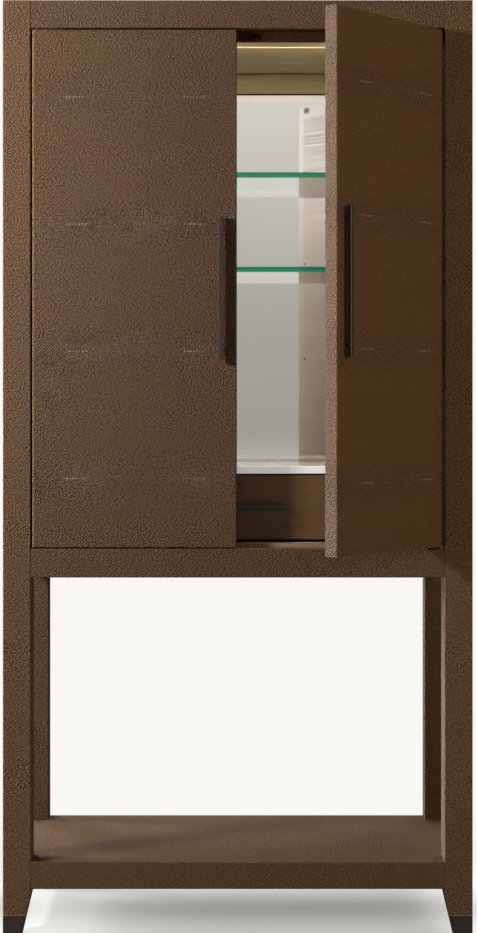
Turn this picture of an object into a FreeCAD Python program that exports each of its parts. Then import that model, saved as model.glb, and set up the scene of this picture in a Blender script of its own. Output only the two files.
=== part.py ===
import FreeCAD, Part
import os
import re

import Sketcher
from FreeCAD import Vector

# A free-standing bar armoire. X runs to the right, Y away from the viewer and Z up, and the
# origin is on the floor in the middle of the four posts.

# Driving sizes, in millimetres, and the angle of the open door, in degrees.
SIZES = {
    # whole cabinet
    "overall_width": 1016,
    "overall_depth": 610,
    "overall_height": 2032,
    # posts and rails
    "post_width": 60.5,
    "front_post_depth": 92,
    "back_post_depth": 64,
    "side_rail_thickness": 40,
    "foot_height": 110,
    "base_rail_height": 58.5,
    "bay_height": 615,
    "mid_rail_height": 62.5,
    "top_rail_height": 60.5,
    "edge_round": 2.4,
    "tenon_length": 25,
    "tenon_thickness": 18,
    "tenon_shoulder": 12,
    "joint_clearance": 0.2,
    # feet
    "taper_drop": 10,
    "foot_inset": 22,
    "cap_height": 50,
    "cap_wall": 1.5,
    "glide_height": 4,
    "glide_radius": 14,
    # panels
    "top_panel_thickness": 18,
    "side_panel_thickness": 12,
    "side_panel_setback": 5,
    "back_panel_thickness": 12,
    "back_panel_setback": 18,
    "lower_shelf_thickness": 18,
    "bay_ceiling_thickness": 12,
    # inside of the cabinet
    "interior_setback": 45,
    "ceiling_thickness": 25,
    "floor_thickness": 10,
    "liner_thickness": 12,
    "mirror_thickness": 5,
    "mirror_side_gap": 0.5,
    "header_height": 51.7,
    "header_thickness": 8,
    # glass shelves and their pins
    "glass_thickness": 12,
    "glass_depth": 287,
    "glass_side_gap": 1,
    "glass_back_gap": 0.5,
    "glass_arris": 0.8,
    "upper_bay_height": 261,
    "middle_bay_height": 203.2,
    "pin_radius": 2.5,
    "pin_hole_depth": 8,
    "pin_tab_reach": 11,
    "pin_tab_width": 8,
    "pin_tab_thickness": 5,
    "pin_seat_gap": 0.1,
    "pin_front_inset": 45,
    "pin_back_inset": 40,
    # stone counter
    "drawer_bay_height": 150.1,
    "counter_thickness": 16.5,
    "counter_setback": 75,
    "counter_side_gap": 0.5,
    "counter_arris": 1,
    "cleat_width": 20,
    "cleat_height": 20,
    "cleat_front_inset": 25,
    # light in the ceiling
    "light_setback": 121,
    "light_length": 840,
    "light_channel_width": 18,
    "light_channel_depth": 10,
    "light_channel_wall": 1.2,
    "light_fit": 0.1,
    "light_diffuser_thickness": 2,
    "light_strip_width": 10,
    "light_strip_thickness": 1.5,
    "driver_length": 160,
    "driver_width": 60,
    "driver_height": 25,
    "driver_chamfer": 3,
    "driver_back_inset": 40,
    "grommet_side_inset": 208,
    "grommet_bore_radius": 8,
    "grommet_wall": 2,
    "grommet_flange_radius": 15,
    "grommet_flange_thickness": 2.5,
    # doors
    "door_thickness": 29,
    "door_gap": 3.8,
    "right_door_angle": 56,
    "lining_thickness": 3,
    "lining_border": 30,
    "lining_chamfer": 1,
    # knife hinges
    "pivot_inset": 9,
    "pivot_depth": 7.5,
    "leaf_length": 55,
    "leaf_width": 10,
    "leaf_thickness": 4.5,
    "leaf_fit": 0.1,
    "hinge_pin_radius": 2.5,
    "hinge_pin_clearance": 0.05,
    "hinge_pin_tip_gap": 0.4,
    "hinge_running_gap": 0.1,
    # door stop and catches
    "stop_gap": 2.3,
    "magnet_width": 20,
    "magnet_height": 10,
    "magnet_depth": 8,
    "magnet_proud": 1.8,
    "magnet_offset": 40,
    "magnet_drop": 12.5,
    "strike_width": 24,
    "strike_height": 13,
    "strike_thickness": 1.5,
    # door pulls
    "pull_length": 310,
    "pull_width": 11,
    "pull_thickness": 9,
    "pull_standoff": 7,
    "pull_edge_inset": 34,
    "pull_post_radius": 4,
    "pull_post_inset": 25,
    "pull_round": 1.2,
    # drawer
    "drawer_side_gap": 3,
    "drawer_top_gap": 3.7,
    "drawer_bottom_gap": 6,
    "drawer_front_thickness": 19,
    "drawer_front_chamfer": 1,
    "drawer_back_gap": 38,
    "drawer_side_thickness": 12,
    "drawer_box_lift": 10,
    "drawer_box_drop": 30.4,
    "drawer_back_thickness": 12,
    "drawer_bottom_thickness": 6,
    "drawer_groove_depth": 5,
    "drawer_groove_lift": 8,
    "drawer_groove_fit": 0.1,
    "drawer_pull_length": 210,
    "drawer_pull_height": 9,
    "drawer_pull_reach": 14,
    "drawer_pull_round": 1.5,
    # drawer runners
    "runner_height": 36,
    "runner_thickness": 12.5,
    "runner_gauge": 1.2,
    "runner_play": 0.4,
    "runner_front_gap": 2,
    "runner_back_gap": 6,
    # play of a shelf pin or magnet in its hole
    "bore_fit": 0.1,
    # how far a cutting shape runs past the face that it opens
    "overrun": 2,
}

# Places worked out from the driving sizes. Those of a pair are given for the right-hand side.
PLACES = {
    # frame
    "side": "overall_width / 2",
    "front": "-overall_depth / 2",
    "rear": "overall_depth / 2",
    "jamb": "side - post_width",
    "front_post_back": "front + front_post_depth",
    "rear_post_front": "rear - back_post_depth",
    "side_rail_inner": "side - side_rail_thickness",
    "base_top": "foot_height + base_rail_height",
    "mid_bottom": "base_top + bay_height",
    "mid_top": "mid_bottom + mid_rail_height",
    "top_bottom": "overall_height - top_rail_height",
    "front_rail_middle": "front + front_post_depth / 2",
    "back_rail_middle": "rear - back_post_depth / 2",
    "side_rail_middle": "side - side_rail_thickness / 2",
    # feet
    "taper_top": "foot_height - taper_drop",
    "cap_top": "glide_height + cap_height",
    "cap_floor": "glide_height + cap_wall",
    "cap_top_inset": "foot_inset * (taper_top - cap_top) / (taper_top - glide_height)",
    "cap_floor_inset": "foot_inset * (taper_top - cap_floor) / (taper_top - glide_height)",
    "spigot_shrink": "cap_wall + joint_clearance",
    # inside of the cabinet
    "interior_front": "front + interior_setback",
    "interior_back": "rear - back_panel_setback - back_panel_thickness",
    "liner_inner": "jamb - liner_thickness",
    "ceiling_bottom": "top_bottom - ceiling_thickness",
    "floor_top": "mid_top + floor_thickness",
    "header_bottom": "ceiling_bottom - header_height",
    "mirror_front": "interior_back - mirror_thickness",
    "glass_back": "mirror_front - glass_back_gap",
    "glass_front": "glass_back - glass_depth",
    "upper_glass_bottom": "ceiling_bottom - upper_bay_height - glass_thickness",
    "lower_glass_bottom": "upper_glass_bottom - middle_bay_height - glass_thickness",
    "counter_bottom": "floor_top + drawer_bay_height",
    "counter_top": "counter_bottom + counter_thickness",
    "counter_front": "front + counter_setback",
    "cleat_front": "counter_front + cleat_front_inset",
    "light_middle": "front + light_setback",
    "light_inner": "light_channel_width / 2 - light_channel_wall",
    "top_panel_bottom": "overall_height - top_panel_thickness",
    "grommet_across": "side - grommet_side_inset",
    "grommet_height": "top_bottom + top_rail_height / 2",
    "grommet_radius": "grommet_bore_radius + grommet_wall",
    # doors: across and along the door from its pivot, and up from the floor
    "door_width": "(2 * jamb - 3 * door_gap) / 2",
    "door_bottom": "mid_top + door_gap",
    "door_top": "top_bottom - door_gap",
    "door_middle": "(door_bottom + door_top) / 2",
    "door_reach": "door_width - pivot_inset",
    "door_face": "-pivot_depth",
    "door_inside": "door_thickness - pivot_depth",
    "pivot_side": "jamb - door_gap - pivot_inset",
    "pivot_front": "front + pivot_depth",
    "leaf_proud": "(door_gap - hinge_running_gap) / 2",
    "leaf_sunk": "leaf_thickness - leaf_proud",
    "pin_length": "door_gap + leaf_sunk - hinge_pin_tip_gap",
    "stop_front": "front + door_thickness + stop_gap",
    "catch_height": "top_bottom - magnet_drop",
    "catch_reach": "pivot_side - magnet_offset",
    "pull_reach": "door_reach - pull_edge_inset",
    "pull_back": "door_face - pull_standoff",
    # drawer
    "drawer_face": "counter_front",
    "drawer_front_back": "drawer_face + drawer_front_thickness",
    "drawer_half_width": "liner_inner - drawer_side_gap",
    "drawer_low": "floor_top + drawer_bottom_gap",
    "drawer_high": "counter_bottom - drawer_top_gap",
    "drawer_middle": "(drawer_low + drawer_high) / 2",
    "box_back": "interior_back - drawer_back_gap",
    "box_outer": "liner_inner - runner_thickness",
    "box_inner": "box_outer - drawer_side_thickness",
    "box_low": "drawer_low + drawer_box_lift",
    "box_high": "drawer_high - drawer_box_drop",
    "groove_low": "box_low + drawer_groove_lift",
    "groove_high": "groove_low + drawer_bottom_thickness",
    "groove_outer": "box_inner + drawer_groove_depth",
    "runner_middle": "(box_low + box_high) / 2",
    "runner_front": "drawer_front_back + runner_front_gap",
    "runner_back": "box_back - runner_back_gap",
}

SIDES = {"left": -1, "right": 1}
# corners of a section, counted round from its low right-hand one
ALL_CORNERS = (0, 1, 2, 3)
RIGHT_CORNERS = (0, 1)
LEFT_CORNERS = (2, 3)
LEVELS = {
    "base": ("foot_height", "base_top"),
    "mid": ("mid_bottom", "mid_top"),
    "top": ("top_bottom", "overall_height"),
}
PLANES = {"X": "YZ_Plane", "Y": "XZ_Plane", "Z": "XY_Plane"}
TURNS = {"X": "create(<<vector>>; 0; 1; 0); 90", "Y": "create(<<vector>>; 1; 0; 0); -90"}
WORD = re.compile(r"[a-z]\w*")
QUARTER_TURN = FreeCAD.Units.Quantity("90 deg").getValueAs("rad").Value
HALF_TURN = FreeCAD.Units.Quantity("180 deg").getValueAs("rad").Value

doc = FreeCAD.newDocument("BarArmoire")
sheet = doc.addObject("Spreadsheet::Sheet", "Sizes")
for row, (size_name, size) in enumerate(SIZES.items(), start=1):
    sheet.set(f"A{row}", size_name)
    sheet.set(f"B{row}", str(size))
    sheet.setAlias(f"B{row}", size_name)
doc.recompute()
nodes = {}


def formula(text):
    """The text with each place spelled out and each size read from the sheet."""

    def spell(match):
        word = match.group()
        if word in PLACES:
            return f"({formula(PLACES[word])})"
        return "Sizes." + word if word in SIZES else word

    return WORD.sub(spell, text)


def number(text):
    """What a formula comes to, for the first drawing of a sketch."""
    return float(sheet.evalExpression(formula(text)))


def placement(x, y, z, turn="create(<<vector>>; 0; 0; 1); 0"):
    point = "; ".join(formula(text) for text in (x, y, z))
    return f"create(<<placement>>; create(<<vector>>; {point}); create(<<rotation>>; {turn}))"


def span(side, near, far):
    """The low and high ends of a stretch, which is mirrored on the left-hand side."""
    return (near, far) if side > 0 else (f"-({far})", f"-({near})")


def about(middle, width):
    """The low and high ends of a stretch that is centred on a place."""
    return (f"{middle} - ({width}) / 2", f"{middle} + ({width}) / 2")


def length(stretch):
    return f"({stretch[1]}) - ({stretch[0]})"


def keep(node, shape):
    """Name a finished piece, which is then written to a file of that name."""
    shape.Label = node
    nodes[node] = shape
    return shape


def board(name, x, y, z):
    """A square-edged board between two places on each axis."""
    box = doc.addObject("Part::Box", name)
    for prop, stretch in (("Length", x), ("Width", y), ("Height", z)):
        box.setExpression(prop, formula(length(stretch)))
    box.setExpression("Placement", placement(x[0], y[0], z[0]))
    return box


def rod(name, along, x, y, z, radius, reach):
    """A round rod that starts at a place and runs along an axis."""
    cylinder = doc.addObject("Part::Cylinder", name)
    cylinder.setExpression("Radius", formula(radius))
    cylinder.setExpression("Height", formula(reach))
    cylinder.setExpression("Placement", placement(x, y, z, TURNS[along]))
    return cylinder


def joined(name, shapes):
    fuse = doc.addObject("Part::MultiFuse", name)
    fuse.Shapes = shapes
    return fuse


def group(name, shapes):
    """Separate pieces that share one name."""
    compound = doc.addObject("Part::Compound", name)
    compound.Links = shapes
    return compound


def cut(name, base, tools):
    result = doc.addObject("Part::Cut", name)
    result.Base = base
    result.Tool = joined(name + "_tools", tools) if len(tools) > 1 else tools[0]
    return result


def new_body(name):
    return doc.addObject("PartDesign::Body", name)


def new_sketch(body, along, x, y, z):
    """A sketch square to an axis, with its own origin at a place."""
    sketch = body.newObject("Sketcher::SketchObject", body.Name + "_sketch")
    plane = next(p for p in body.Origin.OriginFeatures if p.Role == PLANES[along])
    sketch.AttachmentSupport = [(plane, "")]
    sketch.MapMode = "FlatFace"
    across = {"X": (y, z, x), "Y": (x, z, f"-({y})"), "Z": (x, y, z)}[along]
    sketch.setExpression("AttachmentOffset", placement(*across))
    return sketch


def tie(sketch, name, text, *constraint):
    """Add a dimension and bind it to its formula."""
    index = sketch.addConstraint(Sketcher.Constraint(*constraint, number(text)))
    sketch.renameConstraint(index, name)
    sketch.setExpression("Constraints." + name, formula(text))


def draw_rounded(sketch, wide, tall, radius, corners=ALL_CORNERS):
    """A rectangle with some corners rounded and its low corner at the sketch's origin."""
    w, t, r = number(wide), number(tall), number(radius)
    trim = [r if corner in corners else 0 for corner in ALL_CORNERS]
    lines = [
        (Vector(trim[3], 0), Vector(w - trim[0], 0)),
        (Vector(w, trim[0]), Vector(w, t - trim[1])),
        (Vector(w - trim[1], t), Vector(trim[2], t)),
        (Vector(0, t - trim[2]), Vector(0, trim[3])),
    ]
    centres = [(w - r, r), (w - r, t - r), (r, t - r), (r, r)]
    for start, end in lines:
        sketch.addGeometry(Part.LineSegment(start, end), False)
    arcs = {}
    for corner in corners:
        circle = Part.Circle(Vector(*centres[corner]), Vector(0, 0, 1), r)
        arc = Part.ArcOfCircle(circle, (corner - 1) * QUARTER_TURN, corner * QUARTER_TURN)
        arcs[corner] = sketch.addGeometry(arc, False)
    for line in ALL_CORNERS:
        following = (line + 1) % len(ALL_CORNERS)
        if line in arcs:
            sketch.addConstraint(Sketcher.Constraint("Tangent", line, 2, arcs[line], 1))
            sketch.addConstraint(Sketcher.Constraint("Tangent", arcs[line], 2, following, 1))
        else:
            sketch.addConstraint(Sketcher.Constraint("Coincident", line, 2, following, 1))
        sketch.addConstraint(Sketcher.Constraint(("Horizontal", "Vertical")[line % 2], line))
    first, *others = arcs.values()
    for arc in others:
        sketch.addConstraint(Sketcher.Constraint("Equal", first, arc))
    sketch.addConstraint(Sketcher.Constraint("PointOnObject", 0, 1, -1))
    sketch.addConstraint(Sketcher.Constraint("PointOnObject", 3, 1, -2))
    tie(sketch, "radius", radius, "Radius", first)
    tie(sketch, "wide", wide, "DistanceX", -1, 1, 1, 1)
    tie(sketch, "tall", tall, "DistanceY", -1, 1, 2, 1)


def draw_outline(sketch, points):
    """A straight-sided outline through points given across and up from the sketch's origin."""
    places = [Vector(number(u), number(v)) for u, v in points]
    count = len(points)
    for index in range(count):
        line = Part.LineSegment(places[index], places[(index + 1) % count])
        sketch.addGeometry(line, False)
    for index, (u, v) in enumerate(points):
        sketch.addConstraint(Sketcher.Constraint("Coincident", index, 2, (index + 1) % count, 1))
        tie(sketch, f"across_{index}", u, "DistanceX", -1, 1, index, 1)
        tie(sketch, f"up_{index}", v, "DistanceY", -1, 1, index, 1)


def draw_chamfered(sketch, wide, tall, chamfer):
    """A rectangle with its corners cut off and its low corner at the sketch's origin."""
    u, v = f"{wide} - {chamfer}", f"{tall} - {chamfer}"
    low = [(chamfer, "0"), (u, "0"), (wide, chamfer), (wide, v)]
    draw_outline(sketch, low + [(u, tall), (chamfer, tall), ("0", v), ("0", chamfer)])


def draw_square(sketch, wide, tall):
    """A rectangle with sharp corners and its low corner at the sketch's origin."""
    draw_outline(sketch, [("0", "0"), (wide, "0"), (wide, tall), ("0", tall)])


def draw_circle(sketch, radius):
    circle = Part.Circle(Vector(0, 0), Vector(0, 0, 1), number(radius))
    index = sketch.addGeometry(circle, False)
    sketch.addConstraint(Sketcher.Constraint("Coincident", index, 3, -1, 1))
    tie(sketch, "circle_radius", radius, "Radius", index)


def draw_leaf(sketch, side, reach, width):
    """A hinge leaf's outline: round about the pivot and square at the end that the side points to."""
    e, r = number(reach) * side, number(width) / 2
    circle = Part.Circle(Vector(0, 0), Vector(0, 0, 1), r)
    start = side * QUARTER_TURN
    sketch.addGeometry(Part.ArcOfCircle(circle, start, start + HALF_TURN), False)
    first, last = Vector(0, -r * side), Vector(0, r * side)
    far_first, far_last = Vector(e, -r * side), Vector(e, r * side)
    for line in ((first, far_first), (far_first, far_last), (far_last, last)):
        sketch.addGeometry(Part.LineSegment(*line), False)
    sketch.addConstraint(Sketcher.Constraint("Coincident", 0, 3, -1, 1))
    for end in (1, 2):
        sketch.addConstraint(Sketcher.Constraint("PointOnObject", 0, end, -2))
    for piece in range(4):
        sketch.addConstraint(Sketcher.Constraint("Coincident", piece, 2, (piece + 1) % 4, 1))
    for line, direction in ((1, "Horizontal"), (2, "Vertical"), (3, "Horizontal")):
        sketch.addConstraint(Sketcher.Constraint(direction, line))
    tie(sketch, "half_width", f"({width}) / 2", "Radius", 0)
    tie(sketch, "reach", f"({reach}) * {side}", "DistanceX", -1, 1, 1, 2)


def pad(body, sketch, reach):
    feature = body.newObject("PartDesign::Pad", body.Name + "_pad")
    feature.Profile = (sketch, [""])
    feature.setExpression("Length", formula(reach))
    return body


def bar(body, along, x, y, z, draw, *edge):
    """Add a bar with rounded or chamfered long edges, between two places on each axis."""
    wide, tall, reach = {"X": (y, z, x), "Y": (x, z, y), "Z": (x, y, z)}[along]
    start = y[1] if along == "Y" else y[0]
    sketch = new_sketch(body, along, x[0], start, z[0])
    draw(sketch, length(wide), length(tall), *edge)
    return pad(body, sketch, length(reach))


def disc(body, along, x, y, z, radius, reach):
    """Add a round boss that starts at a place; along Y it runs towards the front."""
    sketch = new_sketch(body, along, x, y, z)
    draw_circle(sketch, radius)
    return pad(body, sketch, reach)


def leaf(body, side, low, high, grow="0", bore=None):
    """Add a hinge leaf about the pivot, between two heights, with or without its pin hole."""
    sketch = new_sketch(body, "Z", "0", "0", low)
    draw_leaf(sketch, side, f"leaf_length + {grow}", f"leaf_width + 2 * {grow}")
    if bore:
        draw_circle(sketch, bore)
    return pad(body, sketch, length((low, high)))


def taper(body, top, bottom, radius=None, feature="PartDesign::AdditiveLoft"):
    """Add or take away a block that narrows from one section to another, rounded or sharp."""
    sections = []
    for (x, y), height in (top, bottom):
        sketch = new_sketch(body, "Z", x[0], y[0], height)
        if radius:
            draw_rounded(sketch, length(x), length(y), radius)
        else:
            draw_square(sketch, length(x), length(y))
        sections.append(sketch)
    loft = body.newObject(feature, body.Name + "_taper")
    loft.Profile = (sections[0], [""])
    loft.Sections = [(sections[1], [""])]
    loft.Ruled = True


def footprint(side, end, inset="0", shrink="0"):
    """A post's section: inset moves its two inner faces, and shrink moves all four."""
    x = span(side, f"jamb + {inset} + {shrink}", f"side - {shrink}")
    if end == "front":
        return x, (f"front + {shrink}", f"front_post_back - {inset} - {shrink}")
    return x, (f"rear_post_front + {inset} + {shrink}", f"rear - {shrink}")


def tenon_box(along, side, end, level, grow="0"):
    """The space that a rail's tenon takes in a post, larger all round by grow."""
    low, high = LEVELS[level]
    z = (f"{low} + tenon_shoulder - {grow}", f"{high} - tenon_shoulder + {grow}")
    thick = f"tenon_thickness + 2 * {grow}"
    if along == "X":
        x = span(side, f"jamb - {grow}", f"jamb + tenon_length + {grow}")
        return x, about(f"{end}_rail_middle", thick), z
    x = span(side, *about("side_rail_middle", thick))
    if end == "front":
        return x, (f"front_post_back - tenon_length - {grow}", f"front_post_back + {grow}"), z
    return x, (f"rear_post_front - {grow}", f"rear_post_front + tenon_length + {grow}"), z


def make_post(name, side, end):
    """A post with a tapered foot, a spigot for its cap and a mortise for each rail."""
    body = new_body(name + "_blank")
    shaft = ("taper_top", "overall_height")
    bar(body, "Z", *footprint(side, end), shaft, draw_rounded, "edge_round")
    knee = footprint(side, end)
    ankle = footprint(side, end, "cap_top_inset")
    taper(body, (knee, "taper_top"), (ankle, "cap_top"), "edge_round")
    spigot_top = footprint(side, end, "cap_top_inset", "spigot_shrink")
    spigot_end = footprint(side, end, "cap_floor_inset", "spigot_shrink")
    taper(body, (spigot_top, "cap_top"), (spigot_end, "cap_floor + joint_clearance"))
    mortises = []
    for level in LEVELS:
        for along in "XY":
            space = tenon_box(along, side, end, level, "joint_clearance")
            mortises.append(board(f"{name}_{level}_mortise_{along}", *space))
    keep(name, cut(name, body, mortises))


def make_cap(side, end):
    """A bronze sleeve with a closed sole, flush with the tapered foot above it."""
    body = new_body("cap_body")
    rim = footprint(side, end, "cap_top_inset")
    sole = footprint(side, end, "foot_inset")
    taper(body, (rim, "cap_top"), (sole, "glide_height"), "edge_round")
    hollow_top = footprint(side, end, "cap_top_inset", "cap_wall")
    hollow_end = footprint(side, end, "cap_floor_inset", "cap_wall")
    hollow = ((hollow_top, "cap_top"), (hollow_end, "cap_floor"))
    taper(body, *hollow, feature="PartDesign::SubtractiveLoft")
    return body


def make_glide(side, end):
    """A disc under the middle of the cap's sole."""
    x, y = footprint(side, end, "foot_inset")
    middle = [f"({low} + {high}) / 2" for low, high in (x, y)]
    return disc(new_body("glide_body"), "Z", *middle, "0", "glide_radius", "glide_height")


def make_cross_rail(name, level, end):
    """A front or back rail, with a tenon at each end."""
    if end == "front":
        y, outside = ("front", "front_post_back"), LEFT_CORNERS
    else:
        y, outside = ("rear_post_front", "rear"), RIGHT_CORNERS
    body = new_body(name + "_bar")
    bar(body, "X", ("-jamb", "jamb"), y, LEVELS[level], draw_rounded, "edge_round", outside)
    shapes = [body]
    for side in SIDES.values():
        space = tenon_box("X", side, end, level)
        shapes.append(board(name + "_tenon", *space))
    return joined(name, shapes)


def make_side_rail(level, side):
    """A side rail, flush with the outside of the posts, with a tenon at each end."""
    name = f"{level}_side_rail"
    body = new_body(name + "_bar")
    x = span(side, "side_rail_inner", "side")
    y = ("front_post_back", "rear_post_front")
    outside = RIGHT_CORNERS if side > 0 else LEFT_CORNERS
    bar(body, "Y", x, y, LEVELS[level], draw_rounded, "edge_round", outside)
    shapes = [body]
    for end in ("front", "back"):
        space = tenon_box("Y", side, end, level)
        shapes.append(board(name + "_tenon", *space))
    return joined(name, shapes)


def pivot_placement(shape, side, turn="0"):
    """Stand a piece on its door's pivot, turned about it."""
    x = f"{side} * pivot_side"
    about_z = "create(<<vector>>; 0; 0; 1); " + formula(turn)
    shape.setExpression("Placement", placement(x, "pivot_front", "0", about_z))
    return shape


def leaf_mortise(name, side, low, high):
    """The recess for a hinge leaf in a rail, drawn about the pivot."""
    return pivot_placement(leaf(new_body(name), -side, low, high, "leaf_fit"), side)


def make_frame():
    for end in ("front", "back"):
        for word, side in SIDES.items():
            make_post(f"post_{end}_{word}", side, end)
    corners = [(side, end) for end in ("front", "back") for side in SIDES.values()]
    keep("foot_caps", group("foot_caps", [make_cap(*corner) for corner in corners]))
    keep("foot_glides", group("foot_glides", [make_glide(*corner) for corner in corners]))

    keep("base_rail_front", make_cross_rail("base_rail_front", "base", "front"))
    keep("base_rail_back", make_cross_rail("base_rail_back", "base", "back"))
    keep("mid_rail_back", make_cross_rail("mid_rail_back", "mid", "back"))
    for level, low, high in (
        ("mid", "mid_top - leaf_sunk - leaf_fit", "mid_top + overrun"),
        ("top", "top_bottom - overrun", "top_bottom + leaf_sunk + leaf_fit"),
    ):
        name = f"{level}_rail_front"
        rail = make_cross_rail(name + "_blank", level, "front")
        mortises = [leaf_mortise(name + "_mortise", side, low, high) for side in SIDES.values()]
        keep(name, cut(name, rail, mortises))
    rail = make_cross_rail("top_rail_back_blank", "top", "back")
    bore = rod(
        "grommet_hole", "Y", "grommet_across", "rear_post_front - overrun", "grommet_height",
        "grommet_radius + joint_clearance", "back_post_depth + 2 * overrun",
    )
    sink = rod(
        "grommet_sink", "Y", "grommet_across", "rear - grommet_flange_thickness", "grommet_height",
        "grommet_flange_radius + joint_clearance", "grommet_flange_thickness + overrun",
    )
    keep("top_rail_back", cut("top_rail_back", rail, [bore, sink]))
    for level in LEVELS:
        pair = [make_side_rail(level, side) for side in SIDES.values()]
        keep(f"{level}_side_rails", group(f"{level}_side_rails", pair))


def make_panels():
    within_rails = (("-side_rail_inner", "side_rail_inner"), ("front_post_back", "rear_post_front"))
    keep("top_panel", board("top_panel", *within_rails, ("top_panel_bottom", "overall_height")))
    shelf = ("base_top - lower_shelf_thickness", "base_top")
    keep("lower_shelf", board("lower_shelf", *within_rails, shelf))
    soffit = ("mid_bottom", "mid_bottom + bay_ceiling_thickness")
    keep("bay_ceiling", board("bay_ceiling", *within_rails, soffit))
    outside = "side - side_panel_setback"
    for word, side in SIDES.items():
        x = span(side, f"{outside} - side_panel_thickness", outside)
        y = ("front_post_back", "rear_post_front")
        keep(f"side_panel_{word}", board("side_panel", x, y, ("mid_top", "top_bottom")))
    y = ("interior_back", "interior_back + back_panel_thickness")
    keep("back_panel", board("back_panel", ("-jamb", "jamb"), y, ("mid_top", "top_bottom")))


def shelf_pin_places():
    """Where the pins stand, from front to back and up."""
    for glass in ("upper_glass_bottom", "lower_glass_bottom"):
        for y in ("glass_front + pin_front_inset", "glass_back - pin_back_inset"):
            yield y, f"{glass} - pin_seat_gap - pin_tab_thickness / 2"


def make_interior():
    width = ("-jamb", "jamb")
    depth = ("interior_front", "interior_back")
    ceiling = board("ceiling_blank", width, depth, ("ceiling_bottom", "top_bottom"))
    groove = board(
        "light_groove",
        about("0", "light_length + 2 * light_fit"),
        about("light_middle", "light_channel_width + 2 * light_fit"),
        ("ceiling_bottom - overrun", "ceiling_bottom + light_channel_depth"),
    )
    keep("ceiling_panel", cut("ceiling_panel", ceiling, [groove]))
    keep("floor_panel", board("floor_panel", width, depth, ("mid_top", "floor_top")))

    for word, side in SIDES.items():
        x = span(side, "liner_inner", "jamb")
        liner = board(f"liner_{word}_blank", x, depth, ("floor_top", "ceiling_bottom"))
        inner = span(side, "liner_inner - overrun", "liner_inner + pin_hole_depth")[0]
        reach = "pin_hole_depth + overrun"
        holes = [
            rod("pin_hole", "X", inner, y, z, "pin_radius + bore_fit", reach)
            for y, z in shelf_pin_places()
        ]
        keep(f"liner_{word}", cut(f"liner_{word}", liner, holes))

    within = ("-liner_inner", "liner_inner")
    y = ("interior_back - header_thickness", "interior_back")
    keep("mirror_header", board("mirror_header", within, y, ("header_bottom", "ceiling_bottom")))
    mirror_width = about("0", "2 * (liner_inner - mirror_side_gap)")
    y = ("mirror_front", "interior_back")
    keep("mirror", board("mirror", mirror_width, y, ("counter_top", "header_bottom")))


def make_glass_shelves():
    x = about("0", "2 * (liner_inner - glass_side_gap)")
    for word in ("upper", "lower"):
        low = f"{word}_glass_bottom"
        z = (low, f"{low} + glass_thickness")
        name = f"glass_shelf_{word}"
        y = ("glass_front", "glass_back")
        keep(name, bar(new_body(name), "X", x, y, z, draw_chamfered, "glass_arris"))
    pins = []
    for side in SIDES.values():
        for y, z in shelf_pin_places():
            x = span(side, "liner_inner - pin_tab_reach", "liner_inner")
            tab = board("pin_tab", x, about(y, "pin_tab_width"), about(z, "pin_tab_thickness"))
            start = span(side, "liner_inner", "liner_inner + pin_hole_depth")[0]
            stem = rod("pin_stem", "X", start, y, z, "pin_radius", "pin_hole_depth")
            pins.append(joined("shelf_pin", [tab, stem]))
    keep("shelf_pins", group("shelf_pins", pins))


def make_counter():
    x = about("0", "2 * (liner_inner - counter_side_gap)")
    y = ("counter_front", "interior_back")
    z = ("counter_bottom", "counter_top")
    slab = bar(new_body("counter_slab"), "X", x, y, z, draw_chamfered, "counter_arris")
    keep("counter_slab", slab)
    cleats = []
    for side in SIDES.values():
        x = span(side, "liner_inner - cleat_width", "liner_inner")
        z = ("counter_bottom - cleat_height", "counter_bottom")
        cleats.append(board("counter_cleat", x, ("cleat_front", "interior_back"), z))
    keep("counter_cleats", group("counter_cleats", cleats))


def make_light():
    """A channel let into the ceiling, with its diffuser, its light strip and the driver above."""
    x = about("0", "light_length")
    half = "light_channel_width / 2"
    deep = "light_channel_depth"
    roof = "light_channel_depth - light_channel_wall"
    channel = new_body("light_channel")
    sketch = new_sketch(channel, "X", x[0], "light_middle", "ceiling_bottom")
    outer = [(f"-{half}", "0"), (f"-{half}", deep), (half, deep), (half, "0")]
    inner = [("light_inner", "0"), ("light_inner", roof)]
    inner += [("-light_inner", roof), ("-light_inner", "0")]
    draw_outline(sketch, outer + inner)
    keep("light_channel", pad(channel, sketch, "light_length"))
    y = about("light_middle", "2 * (light_inner - light_fit)")
    z = ("ceiling_bottom", "ceiling_bottom + light_diffuser_thickness")
    keep("light_diffuser", board("light_diffuser", x, y, z))
    y = about("light_middle", "light_strip_width")
    z = (f"ceiling_bottom + {roof} - light_strip_thickness", f"ceiling_bottom + {roof}")
    keep("light_strip", board("light_strip", x, y, z))

    x = about("grommet_across", "driver_length")
    back = "rear_post_front - driver_back_inset"
    y = (f"{back} - driver_width", back)
    z = ("top_bottom", "top_bottom + driver_height")
    driver = bar(new_body("light_driver"), "X", x, y, z, draw_chamfered, "driver_chamfer")
    keep("light_driver", driver)

    sleeve = rod(
        "grommet_sleeve", "Y", "grommet_across", "rear_post_front", "grommet_height",
        "grommet_radius", "back_post_depth",
    )
    flange = rod(
        "grommet_flange", "Y", "grommet_across", "rear - grommet_flange_thickness", "grommet_height",
        "grommet_flange_radius", "grommet_flange_thickness",
    )
    bore = rod(
        "grommet_bore", "Y", "grommet_across", "rear_post_front - overrun", "grommet_height",
        "grommet_bore_radius", "back_post_depth + 2 * overrun",
    )
    keep("cable_grommet", cut("cable_grommet", joined("grommet_blank", [sleeve, flange]), [bore]))


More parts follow.
